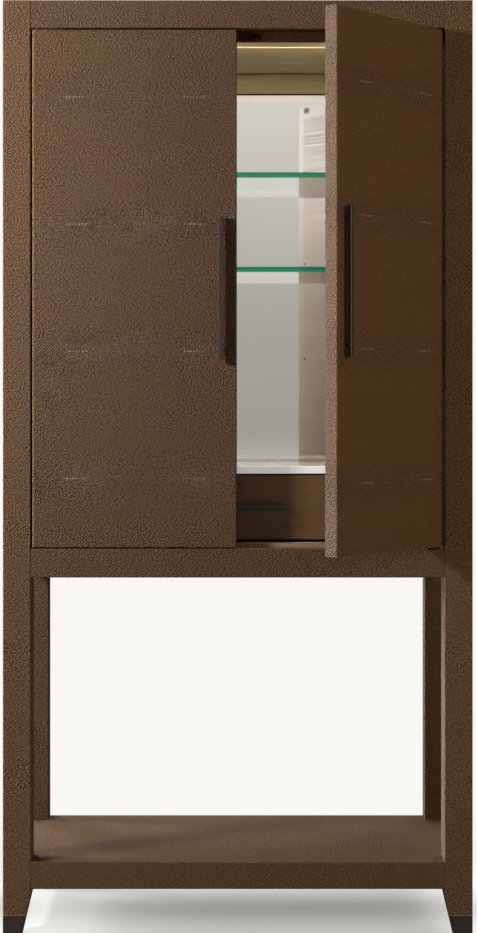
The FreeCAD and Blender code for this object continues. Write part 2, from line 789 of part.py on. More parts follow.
def make_door_stop():
    """A strip under the top rail that the doors close towards, with a magnet for each door."""
    y = ("stop_front", "interior_front")
    strip = board("door_stop_blank", ("-jamb", "jamb"), y, ("ceiling_bottom", "top_bottom"))
    holes, magnets = [], []
    for side in SIDES.values():
        middle = f"{side} * magnet_offset"
        x, z = about(middle, "magnet_width"), about("catch_height", "magnet_height")
        y = ("stop_front - magnet_proud", "stop_front + magnet_depth")
        magnets.append(board("catch_magnet", x, y, z))
        x = about(middle, "magnet_width + 2 * bore_fit")
        z = about("catch_height", "magnet_height + 2 * bore_fit")
        y = ("stop_front - overrun", "stop_front + magnet_depth")
        holes.append(board("magnet_hole", x, y, z))
    keep("door_stop", cut("door_stop", strip, holes))
    keep("catch_magnets", group("catch_magnets", magnets))


def make_hinge_leaves(word, side, turn):
    """Knife hinges: a leaf with a pin in each rail, and a bored leaf in the door that turns on it."""
    z = ("top_bottom - leaf_proud", "top_bottom + leaf_sunk")
    top_leaf = leaf(new_body("top_frame_leaf"), -side, *z)
    disc(top_leaf, "Z", "0", "0", "top_bottom - pin_length", "hinge_pin_radius", "pin_length")
    z = ("mid_top - leaf_sunk", "mid_top + leaf_proud")
    low_leaf = leaf(new_body("low_frame_leaf"), -side, *z)
    disc(low_leaf, "Z", "0", "0", "mid_top", "hinge_pin_radius", "pin_length")
    node = f"{word}_hinge_frame_leaves"
    keep(node, pivot_placement(group(node, [top_leaf, low_leaf]), side))

    bore = "hinge_pin_radius + hinge_pin_clearance"
    upper = ("door_top - leaf_sunk", "door_top + leaf_proud")
    lower = ("door_bottom - leaf_proud", "door_bottom + leaf_sunk")
    leaves = [leaf(new_body("door_leaf"), -side, *z, bore=bore) for z in (upper, lower)]
    node = f"{word}_hinge_door_leaves"
    keep(node, pivot_placement(group(node, leaves), side, turn))


def make_door(word, side, turn):
    """A door and what it carries, drawn about its pivot and then turned to where it stands."""
    across = span(-side, "-pivot_inset", "door_reach")
    through = ("door_face", "door_inside")
    body = new_body(f"{word}_door_blank")
    upright = ("door_bottom", "door_top")
    bar(body, "Z", across, through, upright, draw_rounded, "edge_round")
    upper = ("door_top - leaf_sunk - leaf_fit", "door_top + overrun")
    lower = ("door_bottom - overrun", "door_bottom + leaf_sunk + leaf_fit")
    recesses = [leaf(new_body("leaf_recess"), -side, *z, "leaf_fit") for z in (upper, lower)]
    middle = f"{-side} * catch_reach"
    x = about(middle, "strike_width + 2 * leaf_fit")
    y = ("door_inside - strike_thickness", "door_inside + overrun")
    z = about("catch_height", "strike_height + 2 * leaf_fit")
    recesses.append(board("strike_recess", x, y, z))
    node = f"{word}_door_panel"
    keep(node, pivot_placement(cut(node, body, recesses), side, turn))
    node = f"{word}_catch_strike"
    x, z = about(middle, "strike_width"), about("catch_height", "strike_height")
    plate = board("strike_plate", x, ("door_inside - strike_thickness", "door_inside"), z)
    keep(node, pivot_placement(group(node, [plate]), side, turn))

    node = f"{word}_door_lining"
    x = span(-side, "lining_border - pivot_inset", "door_reach - lining_border")
    y = ("door_inside", "door_inside + lining_thickness")
    z = ("door_bottom + lining_border", "door_top - lining_border")
    lining = bar(new_body(node), "Y", x, y, z, draw_chamfered, "lining_chamfer")
    keep(node, pivot_placement(lining, side, turn))

    node = f"{word}_door_pull"
    middle = f"{-side} * pull_reach"
    pull = new_body(node)
    x = about(middle, "pull_width")
    y = ("pull_back - pull_thickness", "pull_back")
    bar(pull, "Z", x, y, about("door_middle", "pull_length"), draw_rounded, "pull_round")
    for way in SIDES.values():
        z = f"door_middle + {way} * (pull_length / 2 - pull_post_inset)"
        disc(pull, "Y", middle, "door_face", z, "pull_post_radius", "pull_standoff")
    keep(node, pivot_placement(pull, side, turn))


def make_drawer():
    width = about("0", "2 * drawer_half_width")
    y = ("drawer_face", "drawer_front_back")
    z = ("drawer_low", "drawer_high")
    front = bar(new_body("drawer_front"), "X", width, y, z, draw_chamfered, "drawer_front_chamfer")
    keep("drawer_front", front)
    sides = []
    for side in SIDES.values():
        body = new_body("drawer_side")
        sketch = new_sketch(body, "Y", "0", "box_back", "0")
        inner, outer, groove = (f"{side} * {x}" for x in ("box_inner", "box_outer", "groove_outer"))
        roof = "groove_high + drawer_groove_fit"
        outline = [(inner, "box_low"), (outer, "box_low"), (outer, "box_high"), (inner, "box_high")]
        outline += [(inner, roof), (groove, roof), (groove, "groove_low"), (inner, "groove_low")]
        draw_outline(sketch, outline)
        sides.append(pad(body, sketch, length(("drawer_front_back", "box_back"))))
    keep("drawer_sides", group("drawer_sides", sides))
    y = ("box_back - drawer_back_thickness", "box_back")
    z = ("groove_high + drawer_groove_fit", "box_high")
    keep("drawer_back", board("drawer_back", ("-box_inner", "box_inner"), y, z))
    x = about("0", "2 * (groove_outer - drawer_groove_fit)")
    y = ("drawer_front_back", "box_back")
    keep("drawer_bottom", board("drawer_bottom", x, y, ("groove_low", "groove_high")))
    x = about("0", "drawer_pull_length")
    y = ("drawer_face - drawer_pull_reach", "drawer_face")
    z = about("drawer_middle", "drawer_pull_height")
    pull = bar(new_body("drawer_pull"), "X", x, y, z, draw_rounded, "drawer_pull_round")
    keep("drawer_pull", pull)


def runner_member(name, side, web, lip, way, half_height):
    """One folded channel of a runner: a web, and two flanges that reach from it to the lip.

    Its flanges point away from the middle of the cabinet where the way is 1, and to it where it is -1.
    """
    body = new_body(name)
    sketch = new_sketch(body, "Y", "0", "runner_back", "runner_middle")
    face = f"{side} * ({web})"
    inside = f"{side} * ({web} + {way} * runner_gauge)"
    edge = f"{side} * ({lip})"
    high, under = half_height, f"{half_height} - runner_gauge"
    outline = [(face, f"-({high})"), (face, high), (edge, high), (edge, under)]
    outline += [(inside, under), (inside, f"-({under})"), (edge, f"-({under})"), (edge, f"-({high})")]
    draw_outline(sketch, outline)
    return pad(body, sketch, length(("runner_front", "runner_back")))


def make_runners():
    """Telescopic runners of three nested members, which run in each other with a little play."""
    nest = "runner_gauge + runner_play"
    room = f"runner_thickness - {nest}"
    members = {
        "cabinet": ("liner_inner", f"liner_inner - ({room})", -1, "runner_height / 2"),
        "middle": (
            f"liner_inner - ({nest})",
            f"liner_inner - ({room}) + runner_play",
            -1,
            f"runner_height / 2 - ({nest})",
        ),
        "drawer": (
            "box_outer",
            f"box_outer + runner_thickness - 2 * ({nest}) - runner_play",
            1,
            f"runner_height / 2 - 2 * ({nest})",
        ),
    }
    for word, member in members.items():
        node = f"runner_{word}_members"
        pair = [runner_member(node, side, *member) for side in SIDES.values()]
        keep(node, group(node, pair))


make_frame()
make_panels()
make_interior()
make_glass_shelves()
make_counter()
make_light()
make_door_stop()
for door_word, door_side, door_turn in (("left", -1, "0"), ("right", 1, "right_door_angle")):
    make_hinge_leaves(door_word, door_side, door_turn)
    make_door(door_word, door_side, door_turn)
make_drawer()
make_runners()
doc.recompute()

faults = [o.Name for o in doc.Objects if {"Invalid", "Error"} & set(o.State)]
for node, shape in nodes.items():
    if shape.Shape.isNull() or not shape.Shape.isValid() or not shape.Shape.Solids:
        faults.append(node)
if faults:
    raise RuntimeError("these pieces failed: " + ", ".join(faults))

os.makedirs("parts", exist_ok=True)
for node, shape in nodes.items():
    shape.Shape.exportStep(f"parts/{node}.step")
print(len(nodes), "pieces written")
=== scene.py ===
# %% Load the frame
import math

import bpy
from mathutils import Matrix, Vector


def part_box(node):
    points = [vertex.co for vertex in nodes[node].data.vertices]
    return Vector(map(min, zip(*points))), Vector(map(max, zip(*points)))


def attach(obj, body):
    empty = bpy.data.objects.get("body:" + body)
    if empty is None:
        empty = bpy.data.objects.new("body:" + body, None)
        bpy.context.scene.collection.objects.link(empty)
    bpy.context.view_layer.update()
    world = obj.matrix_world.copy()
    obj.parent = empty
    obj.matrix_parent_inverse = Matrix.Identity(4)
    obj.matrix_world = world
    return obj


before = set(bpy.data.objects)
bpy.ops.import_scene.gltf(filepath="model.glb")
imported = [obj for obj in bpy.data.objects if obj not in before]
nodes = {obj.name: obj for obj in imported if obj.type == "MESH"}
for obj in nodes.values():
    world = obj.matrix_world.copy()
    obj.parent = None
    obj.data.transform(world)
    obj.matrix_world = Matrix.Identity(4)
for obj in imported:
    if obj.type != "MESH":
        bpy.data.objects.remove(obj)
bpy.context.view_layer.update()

# %% [markdown]
# ## The camera
# The picture was taken from straight in front with a long lens, a little above the middle of the
# cabinet. The lens was level, because the posts stay upright, so the view is moved down with lens shift
# rather than by tilting. Working out the place from the pixel where a receding line meets the horizon
# is surer than turning a camera by eye.

# %% Camera
IMAGE_SIZE = (477, 933)
HORIZON_POINT = (225, 397)
LENS_PIXELS = 2506
CAMERA_PLACE = Vector((-0.0275, -5.722, 1.174))
FAR_LIMIT = 60


def put_in_scene(name, data):
    """A new object in the scene."""
    thing = bpy.data.objects.new(name, data)
    bpy.context.scene.collection.objects.link(thing)
    return thing


camera = put_in_scene("photo_camera", bpy.data.cameras.new("photo_camera"))
long_side = max(IMAGE_SIZE)
camera.data.lens = LENS_PIXELS / long_side * camera.data.sensor_width
camera.data.shift_x = (IMAGE_SIZE[0] / 2 - HORIZON_POINT[0]) / long_side
camera.data.shift_y = (HORIZON_POINT[1] - IMAGE_SIZE[1] / 2) / long_side
camera.data.clip_end = FAR_LIMIT
camera.location = CAMERA_PLACE
camera.rotation_euler = (math.pi / 2, 0, 0)
bpy.context.scene.camera = camera
print(f"camera: lens {camera.data.lens:.1f} mm, shift {camera.data.shift_x:.4f} {camera.data.shift_y:.4f}")

# %% [markdown]
# ## Helpers for node trees
# Every finish here is a tree of nodes. A few small helpers keep the cells that follow short: they add a
# node and fill its sockets, do arithmetic, mix colours, and open a group that several finishes share.
# The trees could be drawn by hand in the node editor, but a script gives the same tree each time.


# %% Helpers: nodes and sockets
def plug(tree, socket, value):
    """Link another node's output to a socket, or set the socket to a plain value."""
    if isinstance(value, bpy.types.NodeSocket):
        tree.links.new(value, socket)
    else:
        socket.default_value = value


def fill(tree, node, inputs):
    """Fill a node's inputs, which go by name or by number."""
    for name, value in dict(inputs).items():
        plug(tree, node.inputs[name], value)
    return node


def add(tree, kind, inputs=(), **settings):
    """Add a node, with its settings and then its inputs."""
    node = tree.nodes.new(kind)
    for name, value in settings.items():
        setattr(node, name, value)
    return fill(tree, node, inputs)


def made(tree, kind, inputs=(), **settings):
    """The first output of a new node."""
    return add(tree, kind, inputs, **settings).outputs[0]


print("helpers: plug, fill, add, made")


# %% Helpers: arithmetic and mixing
def sum_up(tree, operation, *values, clamp=False):
    """The result of one arithmetic step."""
    return made(tree, "ShaderNodeMath", dict(enumerate(values)), operation=operation, use_clamp=clamp)


def sum_up_vectors(tree, operation, first, second):
    """The result of one arithmetic step with two vectors."""
    return made(tree, "ShaderNodeVectorMath", {0: first, 1: second}, operation=operation)


def split(tree, vector):
    """The three parts of a vector."""
    return add(tree, "ShaderNodeSeparateXYZ", {0: vector}).outputs


def blend_colours(tree, share, first, second, blend_type="MIX"):
    """Two colours mixed by a share."""
    inputs = {0: share, 6: first, 7: second}
    return add(tree, "ShaderNodeMix", inputs, data_type="RGBA", blend_type=blend_type).outputs[2]


def blend_values(tree, share, first, second):
    """Two values mixed by a share."""
    return made(tree, "ShaderNodeMix", {0: share, 2: first, 3: second}, data_type="FLOAT")


def stretch(tree, value, low, high, to_low=0.0, to_high=1.0, curve="LINEAR"):
    """Carry a value from one range to another, and hold it within that range."""
    inputs = {"Value": value, "From Min": low, "From Max": high, "To Min": to_low, "To Max": to_high}
    return made(tree, "ShaderNodeMapRange", inputs, interpolation_type=curve)


print("helpers: sum_up, sum_up_vectors, split, blend_colours, blend_values, stretch")

# %% Helpers: groups
FLOAT, COLOUR, VECTOR = "NodeSocketFloat", "NodeSocketColor", "NodeSocketVector"


def open_group(name, inputs, outputs, tree_kind="ShaderNodeTree"):
    """A new group of nodes, with the sockets at its two ends."""
    group = bpy.data.node_groups.new(name, tree_kind)
    for socket_name, (kind, value) in inputs.items():
        socket = group.interface.new_socket(socket_name, in_out="INPUT", socket_type=kind)
        if value is not None:
            socket.default_value = value
    for socket_name, kind in outputs.items():
        group.interface.new_socket(socket_name, in_out="OUTPUT", socket_type=kind)
    return group, group.nodes.new("NodeGroupInput").outputs, group.nodes.new("NodeGroupOutput").inputs


def place_group(tree, group, inputs):
    """Place a group in a tree and fill its inputs."""
    return add(tree, "ShaderNodeGroup", inputs, node_tree=group).outputs


print("helpers: open_group, place_group")


# %% Helpers: colours and materials
def srgb(red, green, blue):
    """A colour as it is read off a screen, from 0 to 255, turned to the light values nodes use."""
    shares = [part / 255 for part in (red, green, blue)]
    linear = [s / 12.92 if s <= 0.04045 else ((s + 0.055) / 1.055) ** 2.4 for s in shares]
    return (*linear, 1.0)


def new_material(name):
    """A material with its tree, its shader and its coordinates."""
    material = bpy.data.materials.new(name)
    material.use_nodes = True
    tree = material.node_tree
    return material, tree, tree.nodes["Principled BSDF"], add(tree, "ShaderNodeTexCoord").outputs


def raise_surface(tree, shader, height, strength, distance):
    """Let the light fall as if the surface rose and fell with a height."""
    inputs = {"Height": height, "Strength": strength, "Distance": distance}
    plug(tree, shader.inputs["Normal"], made(tree, "ShaderNodeBump", inputs))


BLACK = (0, 0, 0, 1)
print("helpers: srgb, new_material, raise_surface")

# %% [markdown]
# ## Laying a flat pattern on a box
# The hide and the veneer are sheets that are glued to flat faces. Their patterns are drawn in two
# directions, so a shared group looks at which way a face points and hands out the place in the two
# directions that lie in it. A UV map would do the same, but the carried-over solids have none, and object
# coordinates keep the scale in real metres.

# %% Group: face directions
face_group, ends_in, ends_out = open_group(
    "face_directions",
    {"Place": (VECTOR, None), "Normal": (VECTOR, None)},
    {"Flat Place": VECTOR},
)
place = split(face_group, ends_in["Place"])
facing = split(face_group, ends_in["Normal"])
size_x, size_y, size_z = (sum_up(face_group, "ABSOLUTE", part) for part in facing)
faces_side = sum_up(face_group, "GREATER_THAN", size_x, sum_up(face_group, "MAXIMUM", size_y, size_z))
faces_up = sum_up(face_group, "GREATER_THAN", size_z, sum_up(face_group, "MAXIMUM", size_x, size_y))
across = blend_values(face_group, faces_side, place[0], place[1])
up = blend_values(face_group, faces_up, place[2], place[1])
plug(face_group, ends_out["Flat Place"], made(face_group, "ShaderNodeCombineXYZ", {0: across, 1: up}))
print("group:", face_group.name)

# %% [markdown]
# ## Pebbled hide
# Shagreen is covered in small hard pebbles that sit close together. Along the spine of each hide the
# pebbles grow, and they shrink to fine grains between one spine and the next, so the cladding shows
# soft bands. Round cells from a Voronoi texture make the pebbles, in one slanted pattern. A mask of bands
# makes them stand out more near a spine. Changing the size of the cells instead would smear them, because
# one Voronoi texture can't change its scale from place to place.

# %% Helpers: pebbles and noise
MM = 0.001
PEBBLE_PITCH = 4.7 * MM
PEBBLE_GAP, PEBBLE_TOP, PEBBLE_DISORDER = 0.66, 0.12, 0.65
NOISE_LOW, NOISE_HIGH = 0.3, 0.7


def pebbles(tree, place, pitch):
    """Round pebbles: 1 at the top of each and 0 in the gaps."""
    scale = sum_up(tree, "DIVIDE", 1.0, pitch)
    inputs = {"Vector": place, "Scale": scale, "Randomness": PEBBLE_DISORDER}
    cells = add(tree, "ShaderNodeTexVoronoi", inputs, voronoi_dimensions="2D")
    return stretch(tree, cells.outputs["Distance"], PEBBLE_GAP, PEBBLE_TOP)


def noise(tree, place, scale, detail=2.0):
    """Soft noise, with about as many waves to the metre as its scale."""
    return made(tree, "ShaderNodeTexNoise", {"Vector": place, "Scale": scale, "Detail": detail})


def stretched_noise(tree, place, scales, detail=2.0):
    """Soft noise with a scale of its own in each direction."""
    return noise(tree, sum_up_vectors(tree, "MULTIPLY", place, scales), 1.0, detail)


def spread_noise(tree, value, to_low=0.0, to_high=1.0):
    """Carry a noise from the range where most of it lies to another range."""
    return stretch(tree, value, NOISE_LOW, NOISE_HIGH, to_low, to_high)


print(f"pebbles: {PEBBLE_PITCH / MM:.1f} mm apart")

# %% Group: hide pebbles
ROW_PITCH, ROW_START, ROW_WANDER = 275 * MM, 1822.5 * MM, 90 * MM
WANDER_SCALE, PATCH_SCALE, TONE_SCALE = 7.0, 13.0, 22.0
SPINE_SHARPNESS, HALF_ROW_SHARPNESS, HALF_ROW_STRENGTH = 2.2, 9.0, 0.5
PATCH_RANGE, PATCH_STRENGTH = (0.36, 0.62), (0.6, 1.0)
LOW_RISE, SLANT = 0.5, math.radians(45)
hide_group, ends_in, ends_out = open_group(
    "hide_pebbles",
    {"Place": (VECTOR, None), "Pebble Pitch": (FLOAT, PEBBLE_PITCH), "Band Strength": (FLOAT, 1.0)},
    {"Pebble": FLOAT, "Height": FLOAT, "Band": FLOAT, "Tone": FLOAT},
)
hide_place = ends_in["Place"]
wander = noise(hide_group, hide_place, WANDER_SCALE)
wander = sum_up(hide_group, "MULTIPLY_ADD", wander, ROW_WANDER, -ROW_WANDER / 2)
row = sum_up(hide_group, "ADD", split(hide_group, hide_place)[1], wander)
row = sum_up(hide_group, "SUBTRACT", row, ROW_START)
wave = sum_up(hide_group, "COSINE", sum_up(hide_group, "MULTIPLY", row, 2 * math.pi / ROW_PITCH))
spine = sum_up(hide_group, "MULTIPLY_ADD", wave, 0.5, 0.5)
spine = sum_up(hide_group, "POWER", spine, SPINE_SHARPNESS)
between = sum_up(hide_group, "SUBTRACT", 1.0, spine, clamp=True)
between = sum_up(hide_group, "POWER", between, HALF_ROW_SHARPNESS)
between = sum_up(hide_group, "MULTIPLY", between, HALF_ROW_STRENGTH)
patches = stretch(hide_group, noise(hide_group, hide_place, PATCH_SCALE), *PATCH_RANGE, *PATCH_STRENGTH)
band = sum_up(hide_group, "MULTIPLY", sum_up(hide_group, "MAXIMUM", spine, between), patches)
band = sum_up(hide_group, "MULTIPLY", band, ends_in["Band Strength"])
slanted = made(hide_group, "ShaderNodeMapping", {"Vector": hide_place, "Rotation": (0, 0, SLANT)})
tops = pebbles(hide_group, slanted, ends_in["Pebble Pitch"])
rise = blend_values(hide_group, band, LOW_RISE, 1.0)
plug(hide_group, ends_out["Pebble"], tops)
plug(hide_group, ends_out["Height"], sum_up(hide_group, "MULTIPLY", tops, rise))
plug(hide_group, ends_out["Band"], band)
plug(hide_group, ends_out["Tone"], noise(hide_group, hide_place, TONE_SCALE, 3.0))
print("group:", hide_group.name)

# %% [markdown]
# ## Veneer grain
# The inside of the doors and the cabinet is straight-grained veneer, laid with its grain level. The grain
# is noise that is stretched along the board and squeezed across it, so that it reads as fine fibres. It
# is a group because the backs of the doors need it beside the hide, in one material.

# %% Group: veneer grain
FIBRE_SCALES, FIGURE_SCALES = (3.0, 260.0, 1.0), (1.5, 18.0, 1.0)
FIGURE_SHARE, GRAIN_RANGE = 0.4, (0.36, 0.64)
grain_group, ends_in, ends_out = open_group(
    "veneer_grain",
    {"Place": (VECTOR, None), "Fibres": (VECTOR, FIBRE_SCALES), "Figure": (VECTOR, FIGURE_SCALES)},
    {"Fibres": FLOAT, "Share": FLOAT},
)
fibres = stretched_noise(grain_group, ends_in["Place"], ends_in["Fibres"], 4.0)
figure = stretched_noise(grain_group, ends_in["Place"], ends_in["Figure"])
mixed = blend_values(grain_group, FIGURE_SHARE, fibres, figure)
plug(grain_group, ends_out["Fibres"], fibres)
plug(grain_group, ends_out["Share"], stretch(grain_group, mixed, *GRAIN_RANGE))
print("group:", grain_group.name)

# %% [markdown]
# ## Patterns that turn with a door
# One door stands ajar, so its faces don't lie along the axes. Its pattern is laid out as if the door were
# shut: the place and the direction of each point are turned back about the hinge before they are used.

# %% Places on a piece
HINGE_LINE = Vector((0.4347, -0.2975, 0.0))
AJAR = math.radians(56)


def shut_place(tree, place, turn):
    """Each point's place with the piece turned back about the hinge line."""
    if not turn:
        return place
    from_hinge = sum_up_vectors(tree, "SUBTRACT", place, HINGE_LINE)
    shut = made(tree, "ShaderNodeMapping", {"Vector": from_hinge, "Rotation": (0, 0, -turn)})
    return sum_up_vectors(tree, "ADD", shut, HINGE_LINE)


def place_on_faces(tree, coordinates, turn=0.0):
    """The flat place and the direction of each point, on a piece that is turned about the hinge line."""
    place = shut_place(tree, coordinates["Object"], turn)
    normal = coordinates["Normal"]
    if turn:
        turned = {"Vector": normal, "Rotation": (0, 0, -turn)}
        normal = made(tree, "ShaderNodeMapping", turned, vector_type="NORMAL")
    flat = place_group(tree, face_group, {"Place": place, "Normal": normal})["Flat Place"]
    return flat, normal


print(f"hinge line: {HINGE_LINE.x:.4f} {HINGE_LINE.y:.4f}, ajar by {math.degrees(AJAR):.0f} degrees")

# %% [markdown]
# ## Hide finish
# The dark gaps and the lighter tops of the pebbles are two colours that the pebble pattern mixes. A door's
# edges that face left carry a painted highlight, its edges that face right and the edge at its hinge carry
# painted shade, and its inside is veneer. The hide is also darker under the beads that stand on each spine.
# The front posts carry painted shade where they face the doors: they are black there, so that the gaps
# look deep. Separate pieces could carry these, but masks found from the way each face points keep a door
# or a post in one material.

# %% Helpers: parts of the hide
SPINE_REACH, SPINE_SHADE = 38 * MM, 0.35
FACES, FACES_FULLY = 0.7, 0.97
# How far a face turns before a door's edges take a painted highlight (facing left) and painted shade (facing
# right).
HIGHLIGHT_TURN, SHADED_TURN = (0.1, 0.4), (0.2, 0.6)
VENEER_ROUGHNESS, VENEER_RISE = 0.45, 0.1
# Painted shade: the posts' inner faces in the door gaps are black.
REVEAL_SHADE, REVEAL_LIMIT = srgb(8, 5, 3), -0.35


def from_spine(tree, height, start, pitch):
    """How far a height is from the nearest spine, as a share of the space between two spines."""
    row = sum_up(tree, "DIVIDE", sum_up(tree, "SUBTRACT", height, start), pitch)
    return sum_up(tree, "ABSOLUTE", sum_up(tree, "SUBTRACT", row, sum_up(tree, "ROUND", row)))


def dress_door(tree, look, flat, normal, dark, back, hinge_side, edge_highlight):
    """A door's colour, roughness and height: its ground, its edges with painted highlight and painted shade,
    and its veneer back.
    """
    colour, roughness, height = look
    to_right, to_back, _ = split(tree, normal)
    wear_and_highlight = blend_colours(tree, 1.0, colour, edge_highlight, "MULTIPLY")
    away = from_spine(tree, split(tree, flat)[1], ROW_START, ROW_PITCH)
    ground = stretch(tree, away, 0.0, SPINE_REACH / ROW_PITCH, 1.0, 0.0)
    colour = blend_colours(tree, sum_up(tree, "MULTIPLY", ground, SPINE_SHADE), colour, dark)
    to_left = sum_up(tree, "MULTIPLY", to_right, -1.0)
    # Painted highlight on the edges that face left.
    colour = blend_colours(tree, stretch(tree, to_left, *HIGHLIGHT_TURN), colour, wear_and_highlight)
    # Painted shade on the edges that face right.
    colour = blend_colours(tree, stretch(tree, to_right, *SHADED_TURN), colour, dark)
    to_hinge = sum_up(tree, "MULTIPLY", to_right, hinge_side)
    # Painted shade on the flat edge at the hinge, inside the gap.
    colour = blend_colours(tree, sum_up(tree, "GREATER_THAN", to_hinge, FACES_FULLY), colour, dark)
    behind = sum_up(tree, "GREATER_THAN", to_back, FACES)
    grain = place_group(tree, grain_group, {"Place": flat})
    colour = blend_colours(tree, behind, colour, blend_colours(tree, grain["Share"], *back))
    fibres = sum_up(tree, "MULTIPLY", grain["Fibres"], VENEER_RISE)
    roughness = blend_values(tree, behind, roughness, VENEER_ROUGHNESS)
    return colour, roughness, blend_values(tree, behind, height, fibres)


def shade_reveal(tree, colour, place, normal, reveal):
    """A post's colour, with painted shade: black on its inner face between two heights."""
    across, _, height = split(tree, place)
    inward = sum_up(tree, "MULTIPLY", across, split(tree, normal)[0])
    inward = sum_up(tree, "LESS_THAN", inward, REVEAL_LIMIT)
    for edge, side in zip(reveal, ("GREATER_THAN", "LESS_THAN")):
        inward = sum_up(tree, "MULTIPLY", inward, sum_up(tree, side, height, edge))
    return blend_colours(tree, inward, colour, REVEAL_SHADE)


print(f"spines: {ROW_PITCH / MM:.0f} mm apart, with beads {SPINE_REACH / MM:.0f} mm to either side")

# %% Helper: hide material
PLAIN_CONTRAST, MEAN_SHARE = (0.3, 0.95), 0.46
COOL_TONE, WARM_TONE = srgb(236, 242, 226), srgb(255, 243, 242)
GAP_ROUGHNESS, TOP_ROUGHNESS, HIDE_GLOSS = 0.75, 0.45, 0.7
PEBBLE_HEIGHT = 1.8 * MM


def make_hide(
    name, colours, turn=0.0, band_strength=1.0, offset=(0, 0, 0), contrast=PLAIN_CONTRAST,
    gloss=HIDE_GLOSS, back=None, hinge_side=0, edge_highlight=None, reveal=None,
):
    """Hide in a gap and a top colour, with its contrast between spines and on them. A door has veneer
    colours for its back, a hinge side and painted edge highlights. A post has the two heights of its reveal,
    which is painted black as painted shade."""
    material, tree, shader, coordinates = new_material(name)
    flat, normal = place_on_faces(tree, coordinates, turn)
    moved = sum_up_vectors(tree, "ADD", flat, offset)
    hide = place_group(tree, hide_group, {"Place": moved, "Band Strength": band_strength})
    liveliness = blend_values(tree, hide["Band"], *contrast)
    share = blend_values(tree, liveliness, MEAN_SHARE, hide["Pebble"])
    warmth = blend_colours(tree, spread_noise(tree, hide["Tone"]), COOL_TONE, WARM_TONE)
    colour = blend_colours(tree, 1.0, blend_colours(tree, share, *colours), warmth, "MULTIPLY")
    roughness = blend_values(tree, hide["Pebble"], GAP_ROUGHNESS, TOP_ROUGHNESS)
    height = hide["Height"]
    if back:
        look = colour, roughness, height
        colour, roughness, height = dress_door(
            tree, look, flat, normal, colours[0], back, hinge_side, edge_highlight
        )
    if reveal:
        colour = shade_reveal(tree, colour, coordinates["Object"], normal, reveal)
    fill(tree, shader, {"Base Color": colour, "Roughness": roughness, "Specular IOR Level": gloss})
    raise_surface(tree, shader, height, 1.0, PEBBLE_HEIGHT)
    return material


print("helper: make_hide")

# %% Hide finishes
HIDE_COLOURS = srgb(36, 22, 9), srgb(148, 103, 56)
# A paler copy of the same hide for the front posts and the open door, painted lighter to stand in for light.
PAINTED_LIGHT_HIDE_COLOURS = srgb(40, 24, 10), srgb(158, 111, 61)
# The door stop sits in shade under the top rail. Its darker colours are painted shade.
STOP_SHADE_COLOURS = srgb(20, 11, 4), srgb(92, 58, 32)
LINING_COLOURS = srgb(131, 115, 98), srgb(142, 127, 110)
RAIL_CONTRAST, CALM_CONTRAST, LIVELY_CONTRAST = (0.2, 0.55), (0.14, 0.5), (0.22, 1.0)
FRAME_HIDE = {"band_strength": 0.7, "offset": (0.04, 0.11, 0)}
# Painted highlight on the doors' edges that face left, as colour multipliers.
LEFT_EDGE_HIGHLIGHT, RIGHT_EDGE_HIGHLIGHT = (3.9, 4.6, 6.8, 1), (1.58, 1.9, 3.6, 1)
door_low, door_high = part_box("left_door_panel")
hide_frame = make_hide("hide_frame", HIDE_COLOURS, contrast=RAIL_CONTRAST, **FRAME_HIDE)
hide_stop = make_hide("hide_stop", STOP_SHADE_COLOURS, gloss=0.1)
# Painted shade: the posts' reveals are black between the heights of the doors.
hide_posts = make_hide("hide_posts", PAINTED_LIGHT_HIDE_COLOURS, reveal=(door_low.z, door_high.z), **FRAME_HIDE)
hide_left_door = make_hide(
    "hide_left_door", HIDE_COLOURS, contrast=LIVELY_CONTRAST,
    back=LINING_COLOURS, hinge_side=-1, edge_highlight=LEFT_EDGE_HIGHLIGHT,
)
hide_right_door = make_hide(
    "hide_right_door", PAINTED_LIGHT_HIDE_COLOURS, AJAR, contrast=CALM_CONTRAST,
    back=LINING_COLOURS, hinge_side=1, edge_highlight=RIGHT_EDGE_HIGHLIGHT,
)
print("hide:", hide_frame.name, hide_posts.name, hide_left_door.name, hide_right_door.name)

# %% [markdown]
# ## Veneer finish
# All the veneers share the grain and differ in colour. The strip above the mirror has a fine dark line along
# its upper and lower edges. The ceiling is paler beside the light strip: a strip that lies flush can't light
# its own plane, so its glow is a mask from the distance to it.

# %% Helper: veneer material
EDGE_LINE_WIDTH = 2 * MM
EDGE_LINE_ABOVE, EDGE_LINE_BELOW = srgb(70, 58, 32), srgb(36, 27, 10)
LIGHT_SPREAD, LIGHT_FALL, LIGHT_TINT = 170 * MM, 1.5, (1.9, 1.7, 1.3, 1)
FIBRE_HEIGHT = 0.3 * MM


